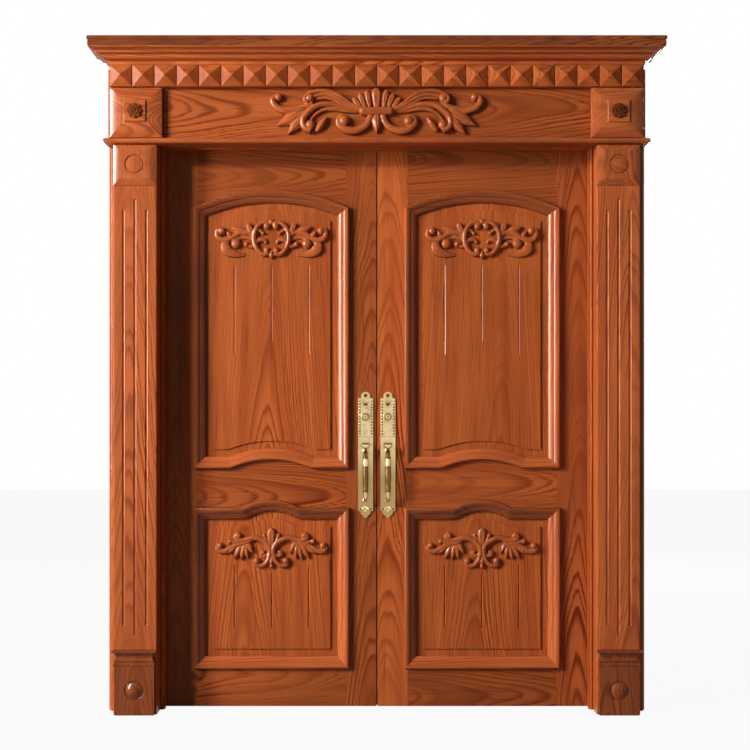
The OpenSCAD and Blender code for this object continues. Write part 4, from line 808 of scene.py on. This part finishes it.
def castTrim(word, x):
    bm = bmesh.new()
    front, band = handle["plateFront"], handle["bandFront"]
    low, high = handle["beadZ"]
    for i in range(handle["beads"]):
        z = low + (high - low) * i / (handle["beads"] - 1)
        for edge in (-1, 1):
            addBall(bm, x + edge * handle["beadX"], front, z, *handle["beadMm"])
    sweepTube(bm, [(x + across, band + y, z, r) for across, y, z, r in handle["swag"]])
    for across, z in handle["dots"]:
        addBall(bm, x + across, band, z, *handle["dotMm"])
    radius, r = handle["keyRing"]
    sweepHoop(bm, x, band, handle["keyZ"], radius, radius, r, fullTurn)
    for z in handle["shutterZ"]:                # shutters of the thumb slot
        addBox(bm, x, front - handle["shutterProud"], z, *handle["shutterMm"])
    z, size = handle["shellTip"]
    addBall(bm, x, front, z, *size)
    wide, tall = handle["ribMm"]
    root, z = handle["ribRoot"], handle["shellZ"]
    thin, thick = handle["ribRadii"]
    for i in range(handle["ribs"]):             # shell
        a = math.radians(90 + handle["ribDegrees"] * (i - handle["ribs"] // 2))
        tip = (x + wide * math.cos(a), front, z + tall * math.sin(a))
        addBall(bm, *tip, *handle["ribBallMm"])
        sweepTube(bm, [(x + root * math.cos(a), front, z - 1 + root * math.sin(a), thin), (*tip, thick)])
    ornament = len(bm.faces)
    width, depth, over = handle["bedMm"]
    for edge in (-1, 1):                        # dark beds of beads, key and swag
        addBox(bm, x + edge * handle["beadX"], front, (low + high) / 2, width, depth, high - low + over)
    seat = Matrix.Translation((x * mm, band * mm, handle["keyZ"] * mm))
    bmesh.ops.create_cone(bm, cap_ends=True, segments=32, radius1=radius * mm, radius2=radius * mm,
                          depth=depth * mm, matrix=seat @ Matrix.Rotation(math.pi / 2, 4, "X"))
    z, size = handle["swagBed"]
    addBall(bm, x, band, z, *size)
    # a dark ring round the key plug: painted shade of the gap round it
    radius, r = handle["plugRing"]
    sweepHoop(bm, x, handle["plugRingY"], handle["keyZ"], radius, radius, r, fullTurn)
    across, z = handle["screwHoleShade"]
    for edge in (-1, 1):                        # dark balls at the foot: painted shade of the screw holes
        addBall(bm, x + edge * across, front, z, *handle["screwHoleShadeMm"])
    bm.faces.ensure_lookup_table()
    for face in bm.faces[ornament:]:
        face.material_index = 1
    shadeByAngle(bm, 50)
    addPiece(word + "_handle_trim", bm, word + "_leaf", "brass", [brass, darkBrassAndShade])


def castTongue(word, x):
    bm = bmesh.new()
    y, z = thumb["y"], thumb["z"]
    addBall(bm, x, y, z, *thumb["sizeMm"])
    bmesh.ops.bisect_plane(bm, geom=bm.verts[:] + bm.edges[:] + bm.faces[:], plane_co=(0, 0, z * mm),
                           plane_no=(0, 0, 1), clear_outer=True)
    bmesh.ops.holes_fill(bm, edges=[e for e in bm.edges if e.is_boundary], sides=0)
    shadeByAngle(bm, 40)
    tongue = set(bm.faces)
    # a dark bar over the tongue and a dark rim round it: painted shade of the thumb slot
    addBox(bm, x, *thumb["bar"], *thumb["barMm"])
    sweepHoop(bm, x, y, z, thumb["sizeMm"][0], thumb["sizeMm"][2], thumb["shadeRimMm"], lowerTurn)
    for face in bm.faces:
        face.material_index = 0 if face in tongue else 1
    addPiece(word + "_thumb_tongue", bm, word + "_thumb", "brass", [brass, darkBrassAndShade])


def castKeyhole(word, x, body):
    # the keyhole is drawn in dark brass: painted shade of the hole
    bm = bmesh.new()
    y, z = handle["plugFront"], handle["keyZ"]
    addBall(bm, x, y, z + keyhole["apart"], *keyhole["eyeMm"])
    addBox(bm, x, y, z - keyhole["apart"], *keyhole["slotMm"])
    shadeByAngle(bm, 40)
    addPiece(word + "_keyhole", bm, body, "brass", [darkBrassAndShade])


def castGrip(word, x):
    bm = bmesh.new()
    sweepTube(bm, [(x, *spot) for spot in grip["bow"]])
    for z, r in grip["rings"]:
        addBall(bm, x, grip["bowY"], z, r, r, grip["ringMm"])
    for z in grip["rootZ"]:
        addBall(bm, x, handle["plateFront"], z, *grip["rootMm"])
    # the middle is drawn dark as a painted dark reflection, and the back of the top bend as painted shade
    low, high = grip["darkReflectionZ"]
    for face in bm.faces:
        spot = face.calc_center_median() / mm
        shaded = spot.z > grip["shadeZ"] and spot.y < grip["shadeY"]
        face.material_index = 1 if low < spot.z < high or shaded else 0
    shadeByAngle(bm, 50)
    addPiece(word + "_grip.cast", bm, word + "_leaf", "brass", [brass, darkBrassAndShade], word + "_grip")


for word, side in leafSides:
    x = side * handle["x"]
    castTrim(word, x)
    castTongue(word, x)
    castKeyhole(word, x, "left_leaf" if side < 0 else "key_cylinder")
    castGrip(word, x)
print("handles cast")

# pile seal between the leaves, set in the left one's edge in front of the bolts, drawn near black: painted
# shade deep in the gap
seal = {"foot": 8, "head": 2100, "widthMm": 3.5, "depthMm": 5, "x": -0.25, "y": 46}
bm = bmesh.new()
addBox(bm, seal["x"], seal["y"], (seal["foot"] + seal["head"]) / 2, seal["widthMm"], seal["depthMm"],
       seal["head"] - seal["foot"])
addPiece("meeting_seal_in_shade", bm, "left_leaf", "dark_wood", [darkAsh])
print("seal fitted")

# soft studio lamps; one gives no highlight, and one gives the wood nothing else
lamps = {
    "keyLamp": {"place": (-4.9, -4.2, 3.9), "aim": (0, 0, 1.2), "size": (0.5, 0.5), "watts": 280,
                "glint": False},
    "glintLamp": {"place": (-5.4, -3.0, 2.7), "aim": (0, 0, 1.6), "size": (0.9, 4.0), "watts": 430},
    "shineLamp": {"place": (-5.4, -3.0, 2.7), "aim": (0, 0, 1.6), "size": (0.9, 4.0), "watts": 1700,
                  "matt": False},
    "fillLamp": {"place": (4.2, -5.0, 2.2), "aim": (0, 0, 1.2), "size": (3.0, 3.0), "watts": 10},
    "backLamp": {"place": (2.5, 5.5, 3.0), "aim": (0, 0, 1.2), "size": (2.5, 2.5), "watts": 330},
}
for name, lamp in lamps.items():
    data = bpy.data.lights.new(name, "AREA")
    data.energy = lamp["watts"]
    data.shape = "RECTANGLE"
    data.size, data.size_y = lamp["size"]
    light = bpy.data.objects.new(name, data)
    light.location = lamp["place"]
    light.visible_glossy = lamp.get("glint", True)
    light.visible_diffuse = lamp.get("matt", True)
    if not light.visible_diffuse:
        light.light_linking.receiver_collection = woodwork
    light.rotation_euler = (Vector(lamp["aim"]) - light.location).to_track_quat("-Z", "Y").to_euler()
    scene.collection.objects.link(light)


def backdropRays(tree):     # what the camera, a gloss or a glass sees is white
    rays = addNode(tree, "ShaderNodeLightPath").outputs
    seen = addNode(tree, "ShaderNodeMath", {0: rays["Is Camera Ray"], 1: rays["Is Glossy Ray"]},
                   operation="MAXIMUM").outputs[0]
    return addNode(tree, "ShaderNodeMath", {0: seen, 1: rays["Is Transmission Ray"]},
                   operation="MAXIMUM").outputs[0]


studio = {"ambient": 0.035, "floor": "#8d8a86", "floorWhite": 0.94, "floorHalf": 20}
world = bpy.data.worlds.new("studio")
scene.world = world
tree = emptyTree(world)
level = addNode(tree, "ShaderNodeMapRange", {
    0: backdropRays(tree), 1: 0.0, 2: 1.0, 3: studio["ambient"], 4: 1.0}).outputs[0]
sky = addNode(tree, "ShaderNodeBackground", {"Color": (1, 1, 1, 1), "Strength": level})
addNode(tree, "ShaderNodeOutputWorld", {"Surface": sky.outputs[0]})

# matt painted floor: a soft shadow on a ground that looks white
floorMaterial = bpy.data.materials.new("paleFloor")
tree = emptyTree(floorMaterial)
matt = addNode(tree, "ShaderNodeBsdfDiffuse", {"Color": toLinear(studio["floor"])})
glow = addNode(tree, "ShaderNodeEmission", {"Color": (1, 1, 1, 1), "Strength": 1.0})
share = addNode(tree, "ShaderNodeMath", {0: backdropRays(tree), 1: studio["floorWhite"]},
                operation="MULTIPLY").outputs[0]
mixed = addNode(tree, "ShaderNodeMixShader", {0: share, 1: matt.outputs[0], 2: glow.outputs[0]})
addNode(tree, "ShaderNodeOutputMaterial", {"Surface": mixed.outputs[0]})
bm = bmesh.new()
bmesh.ops.create_grid(bm, x_segments=1, y_segments=1, size=studio["floorHalf"])
floorMesh = bpy.data.meshes.new("floor")
bm.to_mesh(floorMesh)
bm.free()
floorMesh.materials.append(floorMaterial)
floor = bpy.data.objects.new("floor", floorMesh)
scene.collection.objects.link(floor)
print("stage lit")
